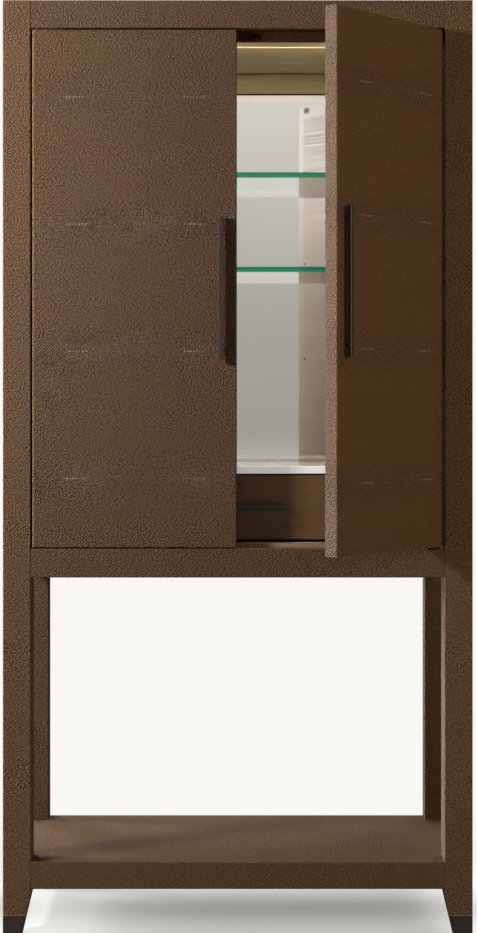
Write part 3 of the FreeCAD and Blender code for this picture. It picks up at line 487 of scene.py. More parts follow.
def make_veneer(name, colours, roughness=VENEER_ROUGHNESS, turn=0.0, relief=0.35, edge_lines=None, lit=None):
    """Veneer in two colours. A strip's upper and lower edges can carry a fine dark line, given the strip's
    box.
    A panel can be paler beside a light, given the light's box."""
    material, tree, shader, coordinates = new_material(name)
    flat, _ = place_on_faces(tree, coordinates, turn)
    grain = place_group(tree, grain_group, {"Place": flat})
    colour = blend_colours(tree, grain["Share"], *colours)
    if edge_lines:
        low, high = edge_lines
        height = split(tree, coordinates["Object"])[2]
        above = sum_up(tree, "GREATER_THAN", height, high.z - EDGE_LINE_WIDTH)
        below = sum_up(tree, "LESS_THAN", height, low.z + 2 * EDGE_LINE_WIDTH)
        colour = blend_colours(tree, above, colour, EDGE_LINE_ABOVE)
        colour = blend_colours(tree, below, colour, EDGE_LINE_BELOW)
    if lit:
        low, high = lit
        depth = split(tree, coordinates["Object"])[1]
        from_light = sum_up(tree, "ABSOLUTE", sum_up(tree, "SUBTRACT", depth, (low.y + high.y) / 2))
        glow = stretch(tree, from_light, 0.0, LIGHT_SPREAD, 1.0, 0.0)
        paler = blend_colours(tree, 1.0, colour, LIGHT_TINT, "MULTIPLY")
        colour = blend_colours(tree, sum_up(tree, "POWER", glow, LIGHT_FALL), colour, paler)
    gloss = spread_noise(tree, grain["Fibres"], roughness + 0.08, roughness - 0.06)
    fill(tree, shader, {"Base Color": colour, "Roughness": gloss})
    raise_surface(tree, shader, grain["Fibres"], relief, FIBRE_HEIGHT)
    return material


print("helper: make_veneer")

# %% Veneer finishes
INSIDE_COLOURS = srgb(168, 154, 120), srgb(194, 180, 146)
HEADER_COLOURS = srgb(156, 144, 112), srgb(184, 172, 138)
SILL_COLOURS = srgb(170, 138, 112), srgb(188, 156, 130)
DRAWER_COLOURS = srgb(114, 82, 45), srgb(127, 93, 53)
PLAIN_WOOD_COLOURS = srgb(170, 138, 98), srgb(198, 168, 126)
veneer_inside = make_veneer("veneer_inside", INSIDE_COLOURS)
veneer_ceiling = make_veneer("veneer_ceiling", INSIDE_COLOURS, lit=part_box("light_diffuser"))
veneer_header = make_veneer("veneer_header", HEADER_COLOURS, edge_lines=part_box("mirror_header"))
veneer_sill = make_veneer("veneer_sill", SILL_COLOURS)
veneer_drawer = make_veneer("veneer_drawer", DRAWER_COLOURS, relief=0.1)
lining_left = make_veneer("lining_left", LINING_COLOURS)
lining_right = make_veneer("lining_right", LINING_COLOURS, turn=AJAR)
drawer_wood = make_veneer("drawer_wood", PLAIN_WOOD_COLOURS, 0.5)
print("veneers:", veneer_inside.name, veneer_drawer.name, lining_left.name, drawer_wood.name)

# %% [markdown]
# ## Metals
# The caps and pulls are bronze with a dark patina. It is rubbed a little lighter here and there. The rim of
# each cap and one front arris of the right pull carry a painted highlight, a pale line where light catches
# the edge. The hinges are darkened brass, and the runners are zinc-plated steel. All share one group of
# brushed lines and rubbed patches, with their own colours and amounts.

# %% Group: brushed metal
CLOSE, DRAWN_OUT = 900.0, 14.0
UPRIGHT_LINES, LEVEL_LINES = (CLOSE, CLOSE, DRAWN_OUT), (DRAWN_OUT, CLOSE, CLOSE)
DEEP_LINES = (CLOSE, DRAWN_OUT, CLOSE)
PATCHES_SCALE, LINE_SHARE, LINE_ROUGHNESS = 34.0, 0.35, 0.16
RUBBED_RANGE = (0.5, 0.95)
metal_group, ends_in, ends_out = open_group(
    "brushed_metal",
    {
        "Place": (VECTOR, None),
        "Dark": (COLOUR, None),
        "Light": (COLOUR, None),
        "Roughness": (FLOAT, 0.35),
        "Lines": (VECTOR, UPRIGHT_LINES),
    },
    {"Color": COLOUR, "Roughness": FLOAT, "Height": FLOAT},
)
lines = stretched_noise(metal_group, ends_in["Place"], ends_in["Lines"])
wear_and_highlight = noise(metal_group, ends_in["Place"], PATCHES_SCALE, 4.0)
share = stretch(metal_group, sum_up(metal_group, "MULTIPLY_ADD", lines, LINE_SHARE, wear_and_highlight), *RUBBED_RANGE)
colour = blend_colours(metal_group, share, ends_in["Dark"], ends_in["Light"])
roughness = sum_up(metal_group, "MULTIPLY_ADD", lines, LINE_ROUGHNESS, ends_in["Roughness"])
for name, value in (("Color", colour), ("Roughness", roughness), ("Height", lines)):
    plug(metal_group, ends_out[name], value)
print("group:", metal_group.name)

# %% Helpers: metal material
# Painted highlight on the caps' rims and on one arris of the right pull.
HIGHLIGHT_START, HIGHLIGHT_END = 1.68 * MM, 0.96 * MM
HIGHLIGHT_BRONZE = srgb(150, 138, 116)
BRUSHED_STRENGTH, BRUSHED_HEIGHT = 0.15, 0.1 * MM
cap_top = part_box("foot_caps")[1].z
pull_low, pull_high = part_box("left_door_pull")


def near_edge(tree, value, edge):
    """1 beside an edge that the value grows towards, and 0 further from it."""
    return stretch(tree, value, edge - HIGHLIGHT_START, edge - HIGHLIGHT_END)


def highlighted_arris(tree, place):
    """The right pull's front arris, found as if its door were shut, where a highlight is painted. That pull
    mirrors the left one.
    """
    across, depth, _ = split(tree, shut_place(tree, place, AJAR))
    side = near_edge(tree, sum_up(tree, "MULTIPLY", across, -1.0), pull_high.x)
    front = near_edge(tree, sum_up(tree, "MULTIPLY", depth, -1.0), -pull_low.y)
    return sum_up(tree, "MULTIPLY", side, front)


def highlighted_rim(tree, place):
    """The upper rim of a cap, where a highlight is painted."""
    return near_edge(tree, split(tree, place)[2], cap_top)


def make_metal(name, colours, roughness, lines=UPRIGHT_LINES, metallic=1.0, highlight=None):
    """Brushed metal in a dark and a light colour. Its last argument is the function that finds where a
    highlight is painted.
    """
    material, tree, shader, coordinates = new_material(name)
    place = coordinates["Object"]
    inputs = {"Place": place, "Dark": colours[0], "Light": colours[1]}
    metal = place_group(tree, metal_group, {**inputs, "Roughness": roughness, "Lines": lines})
    colour = metal["Color"]
    if highlight:
        # Painted highlight: a pale line where light catches the edge.
        colour = blend_colours(tree, highlight(tree, place), colour, HIGHLIGHT_BRONZE)
    fill(tree, shader, {"Base Color": colour, "Roughness": metal["Roughness"], "Metallic": metallic})
    raise_surface(tree, shader, metal["Height"], BRUSHED_STRENGTH, BRUSHED_HEIGHT)
    return material


print(f"cap rims: {cap_top:.4f}, pulls: {pull_low.z:.4f} to {pull_high.z:.4f}")

# %% Metal finishes
PATINA = 0.3
CAP_COLOURS = srgb(66, 56, 49), srgb(80, 69, 61)
PULL_COLOURS = srgb(72, 58, 46), srgb(92, 77, 64)
LEVEL_PULL_COLOURS = srgb(62, 64, 54), srgb(80, 82, 70)
BRASS_COLOURS = srgb(58, 46, 32), srgb(92, 74, 50)
STRIKE_COLOURS = srgb(40, 36, 32), srgb(64, 58, 52)
ZINC_COLOURS = srgb(150, 152, 154), srgb(198, 200, 202)
ALUMINIUM_COLOURS = srgb(168, 168, 168), srgb(200, 200, 200)
bronze = make_metal("bronze", CAP_COLOURS, 0.4, metallic=PATINA, highlight=highlighted_rim)
pull_left = make_metal("pull_left", PULL_COLOURS, 0.42, metallic=PATINA)
pull_right = make_metal("pull_right", PULL_COLOURS, 0.42, metallic=PATINA, highlight=highlighted_arris)
bronze_level = make_metal("bronze_level", LEVEL_PULL_COLOURS, 0.36, LEVEL_LINES, PATINA)
hinge_brass = make_metal("hinge_brass", BRASS_COLOURS, 0.4, LEVEL_LINES)
strike_steel = make_metal("strike_steel", STRIKE_COLOURS, 0.45, LEVEL_LINES)
zinc_steel = make_metal("zinc_steel", ZINC_COLOURS, 0.32, DEEP_LINES)
aluminium = make_metal("aluminium", ALUMINIUM_COLOURS, 0.4, LEVEL_LINES)
print("metals:", bronze.name, hinge_brass.name, zinc_steel.name, aluminium.name)

# %% [markdown]
# ## Stone
# The counter is a white polished stone with faint grey veins. A vein is the line where a warped noise
# crosses its middle value. Light that falls on the slab scatters inside it and leaves at the front edge.
# Scattering could be traced, but that is slow and noisy, so that edge has a faint glow instead: painted
# light, which also brightens the edge where it lies in shade.

# %% Stone
VEIN_WIDTH, VEIN_STRENGTH, VEIN_GREY = 0.06, 0.3, srgb(205, 202, 196)
CLOUD_COLOURS = srgb(246, 245, 240), srgb(252, 251, 247)
stone, tree, shader, coordinates = new_material("white_stone")
place = coordinates["Object"]
warped = sum_up_vectors(tree, "ADD", place, noise(tree, place, 5.0, 5.0))
veins = sum_up(tree, "ABSOLUTE", sum_up(tree, "SUBTRACT", noise(tree, warped, 4.0, 6.0), 0.5))
share = stretch(tree, veins, 0.0, VEIN_WIDTH, VEIN_STRENGTH, 0.0)
cloud = blend_colours(tree, noise(tree, place, 9.0, 4.0), *CLOUD_COLOURS)
# Painted light: a faint glow on the counter's front faces.
front = sum_up(tree, "LESS_THAN", split(tree, coordinates["Normal"])[1], -FACES)
fill(
    tree, shader,
    {
        "Base Color": blend_colours(tree, share, cloud, VEIN_GREY),
        "Roughness": spread_noise(tree, noise(tree, place, 60.0), 0.1, 0.2),
        "Coat Weight": 0.3,
        "Emission Color": blend_colours(tree, front, BLACK, cloud),
        "Emission Strength": 0.3,
    },
)
print("stone:", stone.name)

# %% [markdown]
# ## Glass
# The shelves are clear glass whose edges look green, because there one looks through the whole sheet. A
# thick block of tinted glass would do this by itself, but a thin sheet needs very many bounces of light for
# it, so the edges have their own green and a faint glow that fades towards the upper arris.

# %% Glass
SHEET_TINT = srgb(244, 252, 248)
EDGE_GREENS = srgb(24, 150, 122), srgb(40, 172, 146)
GLOW_GREENS = srgb(2, 64, 48), srgb(10, 122, 100)
STREAK_REACH, GLOW_TOP, GLOW_FOOT = 3 * MM, 9 * MM, 3 * MM
LIES_FLAT = 0.9
glass, tree, shader, coordinates = new_material("shelf_glass")
level = sum_up(tree, "ABSOLUTE", split(tree, coordinates["Normal"])[2])
edge = sum_up(tree, "LESS_THAN", level, LIES_FLAT)
streak = noise(tree, coordinates["Object"], 40.0)
height = split(tree, coordinates["Object"])[2]
shelf_low, upper_low = (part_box(f"glass_shelf_{name}")[0].z for name in ("lower", "upper"))
rise = sum_up(tree, "MODULO", sum_up(tree, "SUBTRACT", height, shelf_low), upper_low - shelf_low)
tone = stretch(tree, sum_up(tree, "MULTIPLY_ADD", streak, STREAK_REACH, rise), GLOW_TOP, GLOW_FOOT)
edge_green = blend_colours(tree, streak, *EDGE_GREENS)
fill(
    tree, shader,
    {
        "Base Color": blend_colours(tree, edge, SHEET_TINT, edge_green),
        "Emission Color": blend_colours(tree, edge, BLACK, blend_colours(tree, tone, *GLOW_GREENS)),
        "Roughness": spread_noise(tree, streak, 0.0, 0.02),
        "Emission Strength": 0.5,
        "Transmission Weight": 1.0,
        "IOR": 1.5,
    },
)
print("glass:", glass.name)

# %% [markdown]
# ## Mirror
# A mirror is a smooth metal behind glass, here with a faint haze. Just below the veneer strip it has a pale
# band, which is taken to be a ground edge that light leaves the sheet by. One mask turns the metal to plain
# frosted glass there and gives it a faint painted glow.

# %% Mirror
# The ground band's colour is also a painted glow.
GROUND_EDGE, GROUND_GLASS_AND_GLOW, GROUND_ROUGHNESS = 14 * MM, srgb(236, 232, 228), 0.6
SILVER_COLOURS = srgb(222, 220, 214), srgb(232, 231, 227)
mirror_glass, tree, shader, coordinates = new_material("mirror_glass")
haze = noise(tree, coordinates["Object"], 3.0, 3.0)
height = split(tree, coordinates["Object"])[2]
ground = sum_up(tree, "GREATER_THAN", height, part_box("mirror_header")[0].z - GROUND_EDGE)
silver = blend_colours(tree, haze, *SILVER_COLOURS)
polish = spread_noise(tree, haze, 0.01, 0.03)
fill(
    tree, shader,
    {
        "Base Color": blend_colours(tree, ground, silver, GROUND_GLASS_AND_GLOW),
        "Emission Color": blend_colours(tree, ground, BLACK, GROUND_GLASS_AND_GLOW),
        "Emission Strength": 0.36,
        "Roughness": blend_values(tree, ground, polish, GROUND_ROUGHNESS),
        "Metallic": sum_up(tree, "SUBTRACT", 1.0, ground),
    },
)
print("mirror:", mirror_glass.name)

# %% [markdown]
# ## Small plastics
# The light's cover is a milky plastic that glows a warm white. The glides, the driver, the grommet and the
# magnets' cases are black nylon with a dull, finely grained skin.

# %% Plastics
SKIN_SCALE, SKIN_STRENGTH, SKIN_HEIGHT = 900.0, 0.2, 0.1 * MM
COVER_COLOURS = srgb(246, 230, 198), srgb(252, 238, 210)
NYLON_COLOURS = srgb(17, 14, 12), srgb(27, 23, 20)


def make_plastic(name, colours, roughness, glow=0.0, gloss=0.5):
    """Finely grained plastic in two colours, which can glow."""
    material, tree, shader, coordinates = new_material(name)
    grain = noise(tree, coordinates["Object"], SKIN_SCALE)
    colour = blend_colours(tree, spread_noise(tree, grain), *colours)
    polish = spread_noise(tree, grain, roughness + 0.06, roughness - 0.06)
    fill(tree, shader, {"Base Color": colour, "Roughness": polish, "Specular IOR Level": gloss})
    raise_surface(tree, shader, grain, SKIN_STRENGTH, SKIN_HEIGHT)
    if glow:
        fill(tree, shader, {"Emission Color": colour, "Emission Strength": glow})
    return material


light_cover = make_plastic("light_cover", COVER_COLOURS, 0.5, glow=0.97)
black_nylon = make_plastic("black_nylon", NYLON_COLOURS, 0.75, gloss=0.15)
print("plastics:", light_cover.name, black_nylon.name)

# %% [markdown]
# ## Finishes on the carried-over pieces
# The solids already have their true shapes, so each of them only needs its finish.

# %% Give each piece its finish
FINISHES = {
    hide_frame: [
        "post_back_left", "post_back_right", "base_rail_front", "base_rail_back", "base_side_rails",
        "mid_rail_front", "mid_rail_back", "mid_side_rails",
        "top_rail_front", "top_rail_back", "top_side_rails",
        "top_panel", "side_panel_left", "side_panel_right", "back_panel",
        "lower_shelf", "bay_ceiling",
    ],
    hide_posts: ["post_front_left", "post_front_right"],
    hide_stop: ["door_stop"],
    hide_left_door: ["left_door_panel"],
    hide_right_door: ["right_door_panel"],
    veneer_inside: ["liner_left", "liner_right"],
    veneer_ceiling: ["ceiling_panel"],
    veneer_header: ["mirror_header"],
    veneer_sill: ["floor_panel"],
    veneer_drawer: ["drawer_front"],
    lining_left: ["left_door_lining"],
    lining_right: ["right_door_lining"],
    drawer_wood: ["drawer_sides", "drawer_back", "drawer_bottom", "counter_cleats"],
    bronze: ["foot_caps"],
    pull_left: ["left_door_pull"],
    pull_right: ["right_door_pull"],
    bronze_level: ["drawer_pull"],
    hinge_brass: [
        "left_hinge_frame_leaves", "right_hinge_frame_leaves",
        "left_hinge_door_leaves", "right_hinge_door_leaves", "shelf_pins",
    ],
    zinc_steel: ["runner_cabinet_members", "runner_middle_members", "runner_drawer_members"],
    strike_steel: ["left_catch_strike", "right_catch_strike"],
    stone: ["counter_slab"],
    glass: ["glass_shelf_upper", "glass_shelf_lower"],
    mirror_glass: ["mirror"],
    aluminium: ["light_channel"],
    light_cover: ["light_diffuser", "light_strip"],
    black_nylon: ["foot_glides", "light_driver", "cable_grommet", "catch_magnets"],
}
for material, names in FINISHES.items():
    for name in names:
        slots = nodes[name].data.materials
        slots.clear()
        slots.append(material)
finished = {name for names in FINISHES.values() for name in names}
print("finished:", len(finished), "left:", sorted(set(nodes) - finished))

# %% [markdown]
# ## Pieces that repeat
# Screws, and the pearls and spine pebbles of the hide, come many times over, so each kind is one small
# Geometry Nodes tree. The script only lists where they sit. The tree puts a copy at each place, makes real
# mesh of the copies and gives it its finish. Last the modifier is dropped, so that every piece is plain mesh.


# %% Helper: grow a piece from a list of places
def grow(name, places, group, settings, body, facings=None, sizes=None, move=None):
    """Make one piece from places in metres, with the tree's inputs set by their names."""
    mesh = bpy.data.meshes.new(name)
    mesh.from_pydata([tuple(place) for place in places], [], [])
    if facings:
        mesh.attributes.new("facing", "FLOAT_VECTOR", "POINT").data.foreach_set(
            "vector", [part for facing in facings for part in facing]
        )
        mesh.attributes.new("size", "FLOAT", "POINT").data.foreach_set("value", sizes)
    piece = put_in_scene(name, mesh)
    modifier = piece.modifiers.new("grow", "NODES")
    modifier.node_group = group
    for item in group.interface.items_tree:
        if item.item_type == "SOCKET" and item.in_out == "INPUT" and item.name in settings:
            modifier[item.identifier] = settings[item.name]
    bpy.context.view_layer.update()
    grown = piece.evaluated_get(bpy.context.evaluated_depsgraph_get())
    solid = bpy.data.meshes.new_from_object(grown)
    piece.modifiers.clear()
    piece.data = solid
    if move:
        solid.transform(move)
    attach(piece, body)
    print(name, "places:", len(places), "faces:", len(solid.polygons))
    return piece


ajar_turn = Matrix.Translation(HINGE_LINE) @ Matrix.Rotation(AJAR, 4, "Z") @ Matrix.Translation(-HINGE_LINE)
print("helper: grow")

# %% Helpers: trees that repeat a piece
GEOMETRY, INTEGER, MATERIAL = "NodeSocketGeometry", "NodeSocketInt", "NodeSocketMaterial"


def open_tree(name, sizes, seed):
    """A Geometry Nodes tree from places to mesh, with named sizes, a seed and a finish."""
    inputs = {
        "Geometry": (GEOMETRY, None), **sizes, "Seed": (INTEGER, seed), "Finish": (MATERIAL, None),
    }
    return open_group(name, inputs, {"Geometry": GEOMETRY}, "GeometryNodeTree")


def put_copies(tree, points, piece, inputs=()):
    """A copy of a piece on every point."""
    inputs = {"Points": points, "Instance": piece, **dict(inputs)}
    return made(tree, "GeometryNodeInstanceOnPoints", inputs)


def shift_by_chance(tree, points, ends_in):
    """Points moved a little by chance, in the plane of a shut door."""
    limits = {0: (-1, 0, -1), 1: (1, 0, 1), "Seed": ends_in["Seed"]}
    chance = made(tree, "FunctionNodeRandomValue", limits, data_type="FLOAT_VECTOR")
    shift = made(tree, "ShaderNodeVectorMath", {0: chance, 3: ends_in["Wander"]}, operation="SCALE")
    return made(tree, "GeometryNodeSetPosition", {"Geometry": points, "Offset": shift})


def pick_by_chance(tree, low, high, ends_in):
    """A number for each point, between two limits."""
    return add(tree, "FunctionNodeRandomValue", {2: low, 3: high, "Seed": ends_in["Seed"]}).outputs[1]


def end_tree(tree, geometry, ends_in, ends_out, smooth=True):
    """Make real mesh of a tree's copies, give it its finish and hand it out."""
    geometry = made(tree, "GeometryNodeRealizeInstances", {0: geometry})
    if smooth:
        geometry = made(tree, "GeometryNodeSetShadeSmooth", {0: geometry})
    geometry = made(tree, "GeometryNodeSetMaterial", {0: geometry, "Material": ends_in["Finish"]})
    plug(tree, ends_out[0], geometry)
    print("tree:", tree.name)


print("helpers: open_tree, put_copies, shift_by_chance, pick_by_chance, end_tree")

# %% [markdown]
# ## Pearls
# On a ray's hide a short row of larger, pale pearls lies on the spine. Each door shows two such rows on
# every band. They stand proud and shine, so they are real flat beads rather than paint: a line of points,
# shifted a little by chance, with a squashed sphere on each.

# %% Pearl tree
PEARL_SIZES = {
    "Pearls": (INTEGER, 7),
    "Pitch": (FLOAT, 6.9 * MM),
    "Radius": (FLOAT, 1.5 * MM),
    "Wander": (FLOAT, 0.5 * MM),
}
PEARL_SHAPE, PEARL_GROWTH = (1.0, 0.32, 1.0), (0.7, 1.15)
PEARL_SEGMENTS, PEARL_RINGS = 12, 8
pearl_tree, ends_in, ends_out = open_tree("pearl_rows", PEARL_SIZES, seed=3)
reach = sum_up(pearl_tree, "SUBTRACT", ends_in["Pearls"], 1)
reach = sum_up(pearl_tree, "MULTIPLY", reach, ends_in["Pitch"])
start = made(pearl_tree, "ShaderNodeCombineXYZ", {0: sum_up(pearl_tree, "MULTIPLY", reach, -0.5)})
step = made(pearl_tree, "ShaderNodeCombineXYZ", {0: ends_in["Pitch"]})
line = {"Count": ends_in["Pearls"], "Start Location": start, "Offset": step}
rows = put_copies(pearl_tree, ends_in["Geometry"], made(pearl_tree, "GeometryNodeMeshLine", line))
points = made(pearl_tree, "GeometryNodeRealizeInstances", {0: rows})
points = shift_by_chance(pearl_tree, points, ends_in)
ball = {"Segments": PEARL_SEGMENTS, "Rings": PEARL_RINGS, "Radius": ends_in["Radius"]}
ball = made(pearl_tree, "GeometryNodeMeshUVSphere", ball)
pearl = made(pearl_tree, "GeometryNodeTransform", {"Geometry": ball, "Scale": PEARL_SHAPE})
growth = pick_by_chance(pearl_tree, *PEARL_GROWTH, ends_in)
pearls = put_copies(pearl_tree, points, pearl, {"Scale": growth})
end_tree(pearl_tree, pearls, ends_in, ends_out)

# %% Pearl finish
PEARL_COLOURS, PEARL_ROUGHNESS = (srgb(184, 160, 130), srgb(212, 190, 160)), (0.4, 0.28)
pearl_shine, tree, shader, coordinates = new_material("pearl_shine")
speckle = noise(tree, coordinates["Object"], 700.0)
pale = blend_colours(tree, spread_noise(tree, speckle), *PEARL_COLOURS)
fill(tree, shader, {"Base Color": pale, "Roughness": spread_noise(tree, speckle, *PEARL_ROUGHNESS)})
print("pearl finish:", pearl_shine.name)

# %% Pearls on the doors
SPINES = 4
LEFT_COLUMNS, RIGHT_COLUMNS = (-0.3485, -0.0945), (0.1200, 0.3660)
row_heights = [ROW_START - count * ROW_PITCH for count in range(SPINES)]
for side, columns, move in (("left", LEFT_COLUMNS, None), ("right", RIGHT_COLUMNS, ajar_turn)):
    places = [(x, door_low.y, z) for z in row_heights for x in columns]
    settings = {"Finish": pearl_shine}
    grow(f"{side}_door_pearls", places, pearl_tree, settings, f"{side}_door", move=move)

# %% [markdown]
# ## Spine pebbles
# Near the spine the pebbles are large enough to stand out from the hide. A bump alone would leave the doors
# flat at their edges and in the mesh, so these are real low beads. Two grids of points, half a step
# apart, cover each door, and chance moves the points a little. The beads shrink away from the spine, and
# those beyond its reach are dropped.

# %% Spine pebble tree
SPINE_SIZES = {
    "Width": (FLOAT, 0.4),
    "Height": (FLOAT, 1.0),
    "Columns": (INTEGER, 80),
    "Rows": (INTEGER, 200),
    "Wander": (FLOAT, 0.6 * MM),
    "Row Start": (FLOAT, ROW_START),
    "Row Pitch": (FLOAT, ROW_PITCH),
    "Reach": (FLOAT, SPINE_REACH),
    "Radius": (FLOAT, 2 * MM),
}
BEAD_SHAPE, BEAD_GROWTH, FAR_SIZE = (1.0, 0.2, 1.0), (0.85, 1.1), 0.35
STAND_UP = (math.pi / 2, 0, 0)
spine_tree, ends_in, ends_out = open_tree("spine_pebbles", SPINE_SIZES, seed=11)
grid = {
    "Size X": ends_in["Width"], "Size Y": ends_in["Height"],
    "Vertices X": ends_in["Columns"], "Vertices Y": ends_in["Rows"],
}
grid = made(spine_tree, "GeometryNodeMeshGrid", grid)
upright = made(spine_tree, "GeometryNodeTransform", {"Geometry": grid, "Rotation": STAND_UP})
points = put_copies(spine_tree, ends_in["Geometry"], upright)
points = made(spine_tree, "GeometryNodeRealizeInstances", {0: points})
points = made(spine_tree, "GeometryNodeMeshToPoints", {"Mesh": points})
points = shift_by_chance(spine_tree, points, ends_in)
height = split(spine_tree, made(spine_tree, "GeometryNodeInputPosition"))[2]
away = from_spine(spine_tree, height, ends_in["Row Start"], ends_in["Row Pitch"])
away = sum_up(spine_tree, "MULTIPLY", away, ends_in["Row Pitch"])
away = sum_up(spine_tree, "DIVIDE", away, ends_in["Reach"])
near = sum_up(spine_tree, "SUBTRACT", 1.0, away, clamp=True)
too_far = {"data_type": "FLOAT", "operation": "LESS_EQUAL"}
too_far = made(spine_tree, "FunctionNodeCompare", {0: near, 1: 0.0}, **too_far)
points = made(spine_tree, "GeometryNodeDeleteGeometry", {"Geometry": points, "Selection": too_far})
bead = made(spine_tree, "GeometryNodeMeshIcoSphere", {"Radius": ends_in["Radius"], "Subdivisions": 1})
bead = made(spine_tree, "GeometryNodeTransform", {"Geometry": bead, "Scale": BEAD_SHAPE})
growth = pick_by_chance(spine_tree, *BEAD_GROWTH, ends_in)
near_size = sum_up(spine_tree, "MULTIPLY_ADD", near, 1 - FAR_SIZE, FAR_SIZE)
size = sum_up(spine_tree, "MULTIPLY", growth, near_size)
end_tree(spine_tree, put_copies(spine_tree, points, bead, {"Scale": size}), ends_in, ends_out)

# %% Spine pebble finish
BEAD_COLOURS, BEAD_ROUGHNESS = (srgb(84, 58, 34), srgb(164, 124, 86)), (0.55, 0.42)
hide_beads, tree, shader, coordinates = new_material("hide_beads")
speckle = stretch(tree, noise(tree, coordinates["Object"], 420.0, 1.0), 0.35, 0.65)
fill(
    tree, shader,
    {
        "Base Color": blend_colours(tree, speckle, *BEAD_COLOURS),
        "Roughness": stretch(tree, speckle, 0.0, 1.0, *BEAD_ROUGHNESS),
        "Specular IOR Level": HIDE_GLOSS,
    },
)
print("spine pebble finish:", hide_beads.name)

# %% Spine pebbles on the doors
BEAD_PITCH, EDGE_MARGIN = 6.4 * MM, 6 * MM
middle = (door_low + door_high) / 2
quarter = BEAD_PITCH / 4
grid_width = door_high.x - door_low.x - 2 * (EDGE_MARGIN + quarter)
grid_height = door_high.z - door_low.z - 2 * (EDGE_MARGIN + quarter)
settings = {
    "Width": grid_width, "Height": grid_height,
    "Columns": round(grid_width / BEAD_PITCH), "Rows": round(grid_height / BEAD_PITCH),
    "Finish": hide_beads,
}
for side, sign, move in (("left", 1, None), ("right", -1, ajar_turn)):
    places = [(sign * middle.x + part, door_low.y, middle.z + part) for part in (-quarter, quarter)]
    grow(f"{side}_door_spine", places, spine_tree, settings, f"{side}_door", move=move)

# %% [markdown]
# ## Screws
# Slotted screws hold the hinge leaves, the strikes, the cleats and the pulls. One slotted head is cut in
# the tree with a boolean, and a copy is turned to face out of the wood at each place, with its slot at
# whatever angle it stopped.

# %% Screw tree
SLOT_LENGTH, SLOT_WIDTH, SLOT_DEPTH, HEAD_HEIGHT = 2.4, 0.3, 0.28, 0.5
HEAD_SIDES = 20
screw_tree, ends_in, ends_out = open_tree("slotted_screws", {}, seed=5)
head = {"Vertices": HEAD_SIDES, "Radius": 1.0, "Depth": HEAD_HEIGHT}
head = made(screw_tree, "GeometryNodeMeshCylinder", head)
cutter = made(screw_tree, "GeometryNodeMeshCube", {"Size": (SLOT_LENGTH, SLOT_WIDTH, 2 * SLOT_DEPTH)})
raised = {"Geometry": cutter, "Translation": (0, 0, HEAD_HEIGHT / 2)}
cutter = made(screw_tree, "GeometryNodeTransform", raised)
cut = made(screw_tree, "GeometryNodeMeshBoolean", {0: head, 1: cutter}, operation="DIFFERENCE")
facing, size = (
    made(screw_tree, "GeometryNodeInputNamedAttribute", {"Name": name}, data_type=kind)
    for name, kind in (("facing", "FLOAT_VECTOR"), ("size", "FLOAT"))
)
outward = made(screw_tree, "FunctionNodeAlignRotationToVector", {"Vector": facing}, axis="Z")
angle = pick_by_chance(screw_tree, 0.0, math.pi, ends_in)
spin = made(screw_tree, "FunctionNodeAxisAngleToRotation", {"Axis": (0, 0, 1), "Angle": angle})
turned = made(screw_tree, "FunctionNodeRotateRotation", {0: outward, 1: spin}, rotation_space="LOCAL")
screws = put_copies(screw_tree, ends_in["Geometry"], cut, {"Rotation": turned, "Scale": size})
end_tree(screw_tree, screws, ends_in, ends_out, smooth=False)

# %% Helper: drive screws
UP, DOWN, BACK = (0, 0, 1), (0, 0, -1), (0, 1, 0)
FLUSH, STANDING = 0.04 * MM, 0.8 * MM
SMALL_HEAD, BOLT_HEAD = 2.2 * MM, 3.4 * MM


def screw_on(piece_name, body, screws, move=None, finish=zinc_steel):
    """Screws given as (place on the face, way it faces, head radius, how far the head stands out)."""
    places, facings, sizes = [], [], []
    for place, way, radius, proud in screws:
        way = Vector(way)
        places.append(Vector(place) + way * (proud - radius * HEAD_HEIGHT / 2))
        facings.append(way)
        sizes.append(radius)
    settings = {"Finish": finish}
    return grow(piece_name, places, screw_tree, settings, body, facings, sizes, move)


print("helper: screw_on")

# %% Screws in the frame
LEAF_SCREWS, FRAME_LEAF_FACES = (0.390, 0.412), (0.84785, 1.96965)
CLEAT_SCREWS = (-0.15, 0.035, 0.22)
cleat_low, cleat_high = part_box("counter_cleats")
cleat_face = min(abs(v.co.x) for v in nodes["counter_cleats"].data.vertices)
frame_screws = []
for side in (-1, 1):
    for reach in LEAF_SCREWS:
        for height, way in zip(FRAME_LEAF_FACES, (UP, DOWN)):
            frame_screws.append(((side * reach, HINGE_LINE.y, height), way, SMALL_HEAD, FLUSH))
    for depth in CLEAT_SCREWS:
        face = (side * cleat_face, depth, (cleat_low.z + cleat_high.z) / 2)
        frame_screws.append((face, (-side, 0, 0), BOLT_HEAD, STANDING))
screw_on("frame_screws", "frame", frame_screws)

# %% Screws in the doors
DOOR_LEAF_FACES = (0.84795, 1.96955)
STRIKE_SCREW_INSET, PULL_POST_INSET = 5 * MM, 25 * MM
strike_low, strike_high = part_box("left_catch_strike")
lining_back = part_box("left_door_lining")[1].y
for side, name, move in ((1, "left", None), (-1, "right", ajar_turn)):
    screws = []
    for reach in LEAF_SCREWS:
        for height, way in zip(DOOR_LEAF_FACES, (DOWN, UP)):
            screws.append(((-side * reach, HINGE_LINE.y, height), way, SMALL_HEAD, FLUSH))
    for x in (strike_low.x + STRIKE_SCREW_INSET, strike_high.x - STRIKE_SCREW_INSET):
        face = (side * x, strike_high.y, (strike_low.z + strike_high.z) / 2)
        screws.append((face, BACK, SMALL_HEAD, FLUSH))
    for z in (pull_low.z + PULL_POST_INSET, pull_high.z - PULL_POST_INSET):
        face = (side * (pull_low.x + pull_high.x) / 2, lining_back, z)
        screws.append((face, BACK, BOLT_HEAD, STANDING))
    screw_on(f"{name}_door_screws", f"{name}_door", screws, move, hinge_brass)

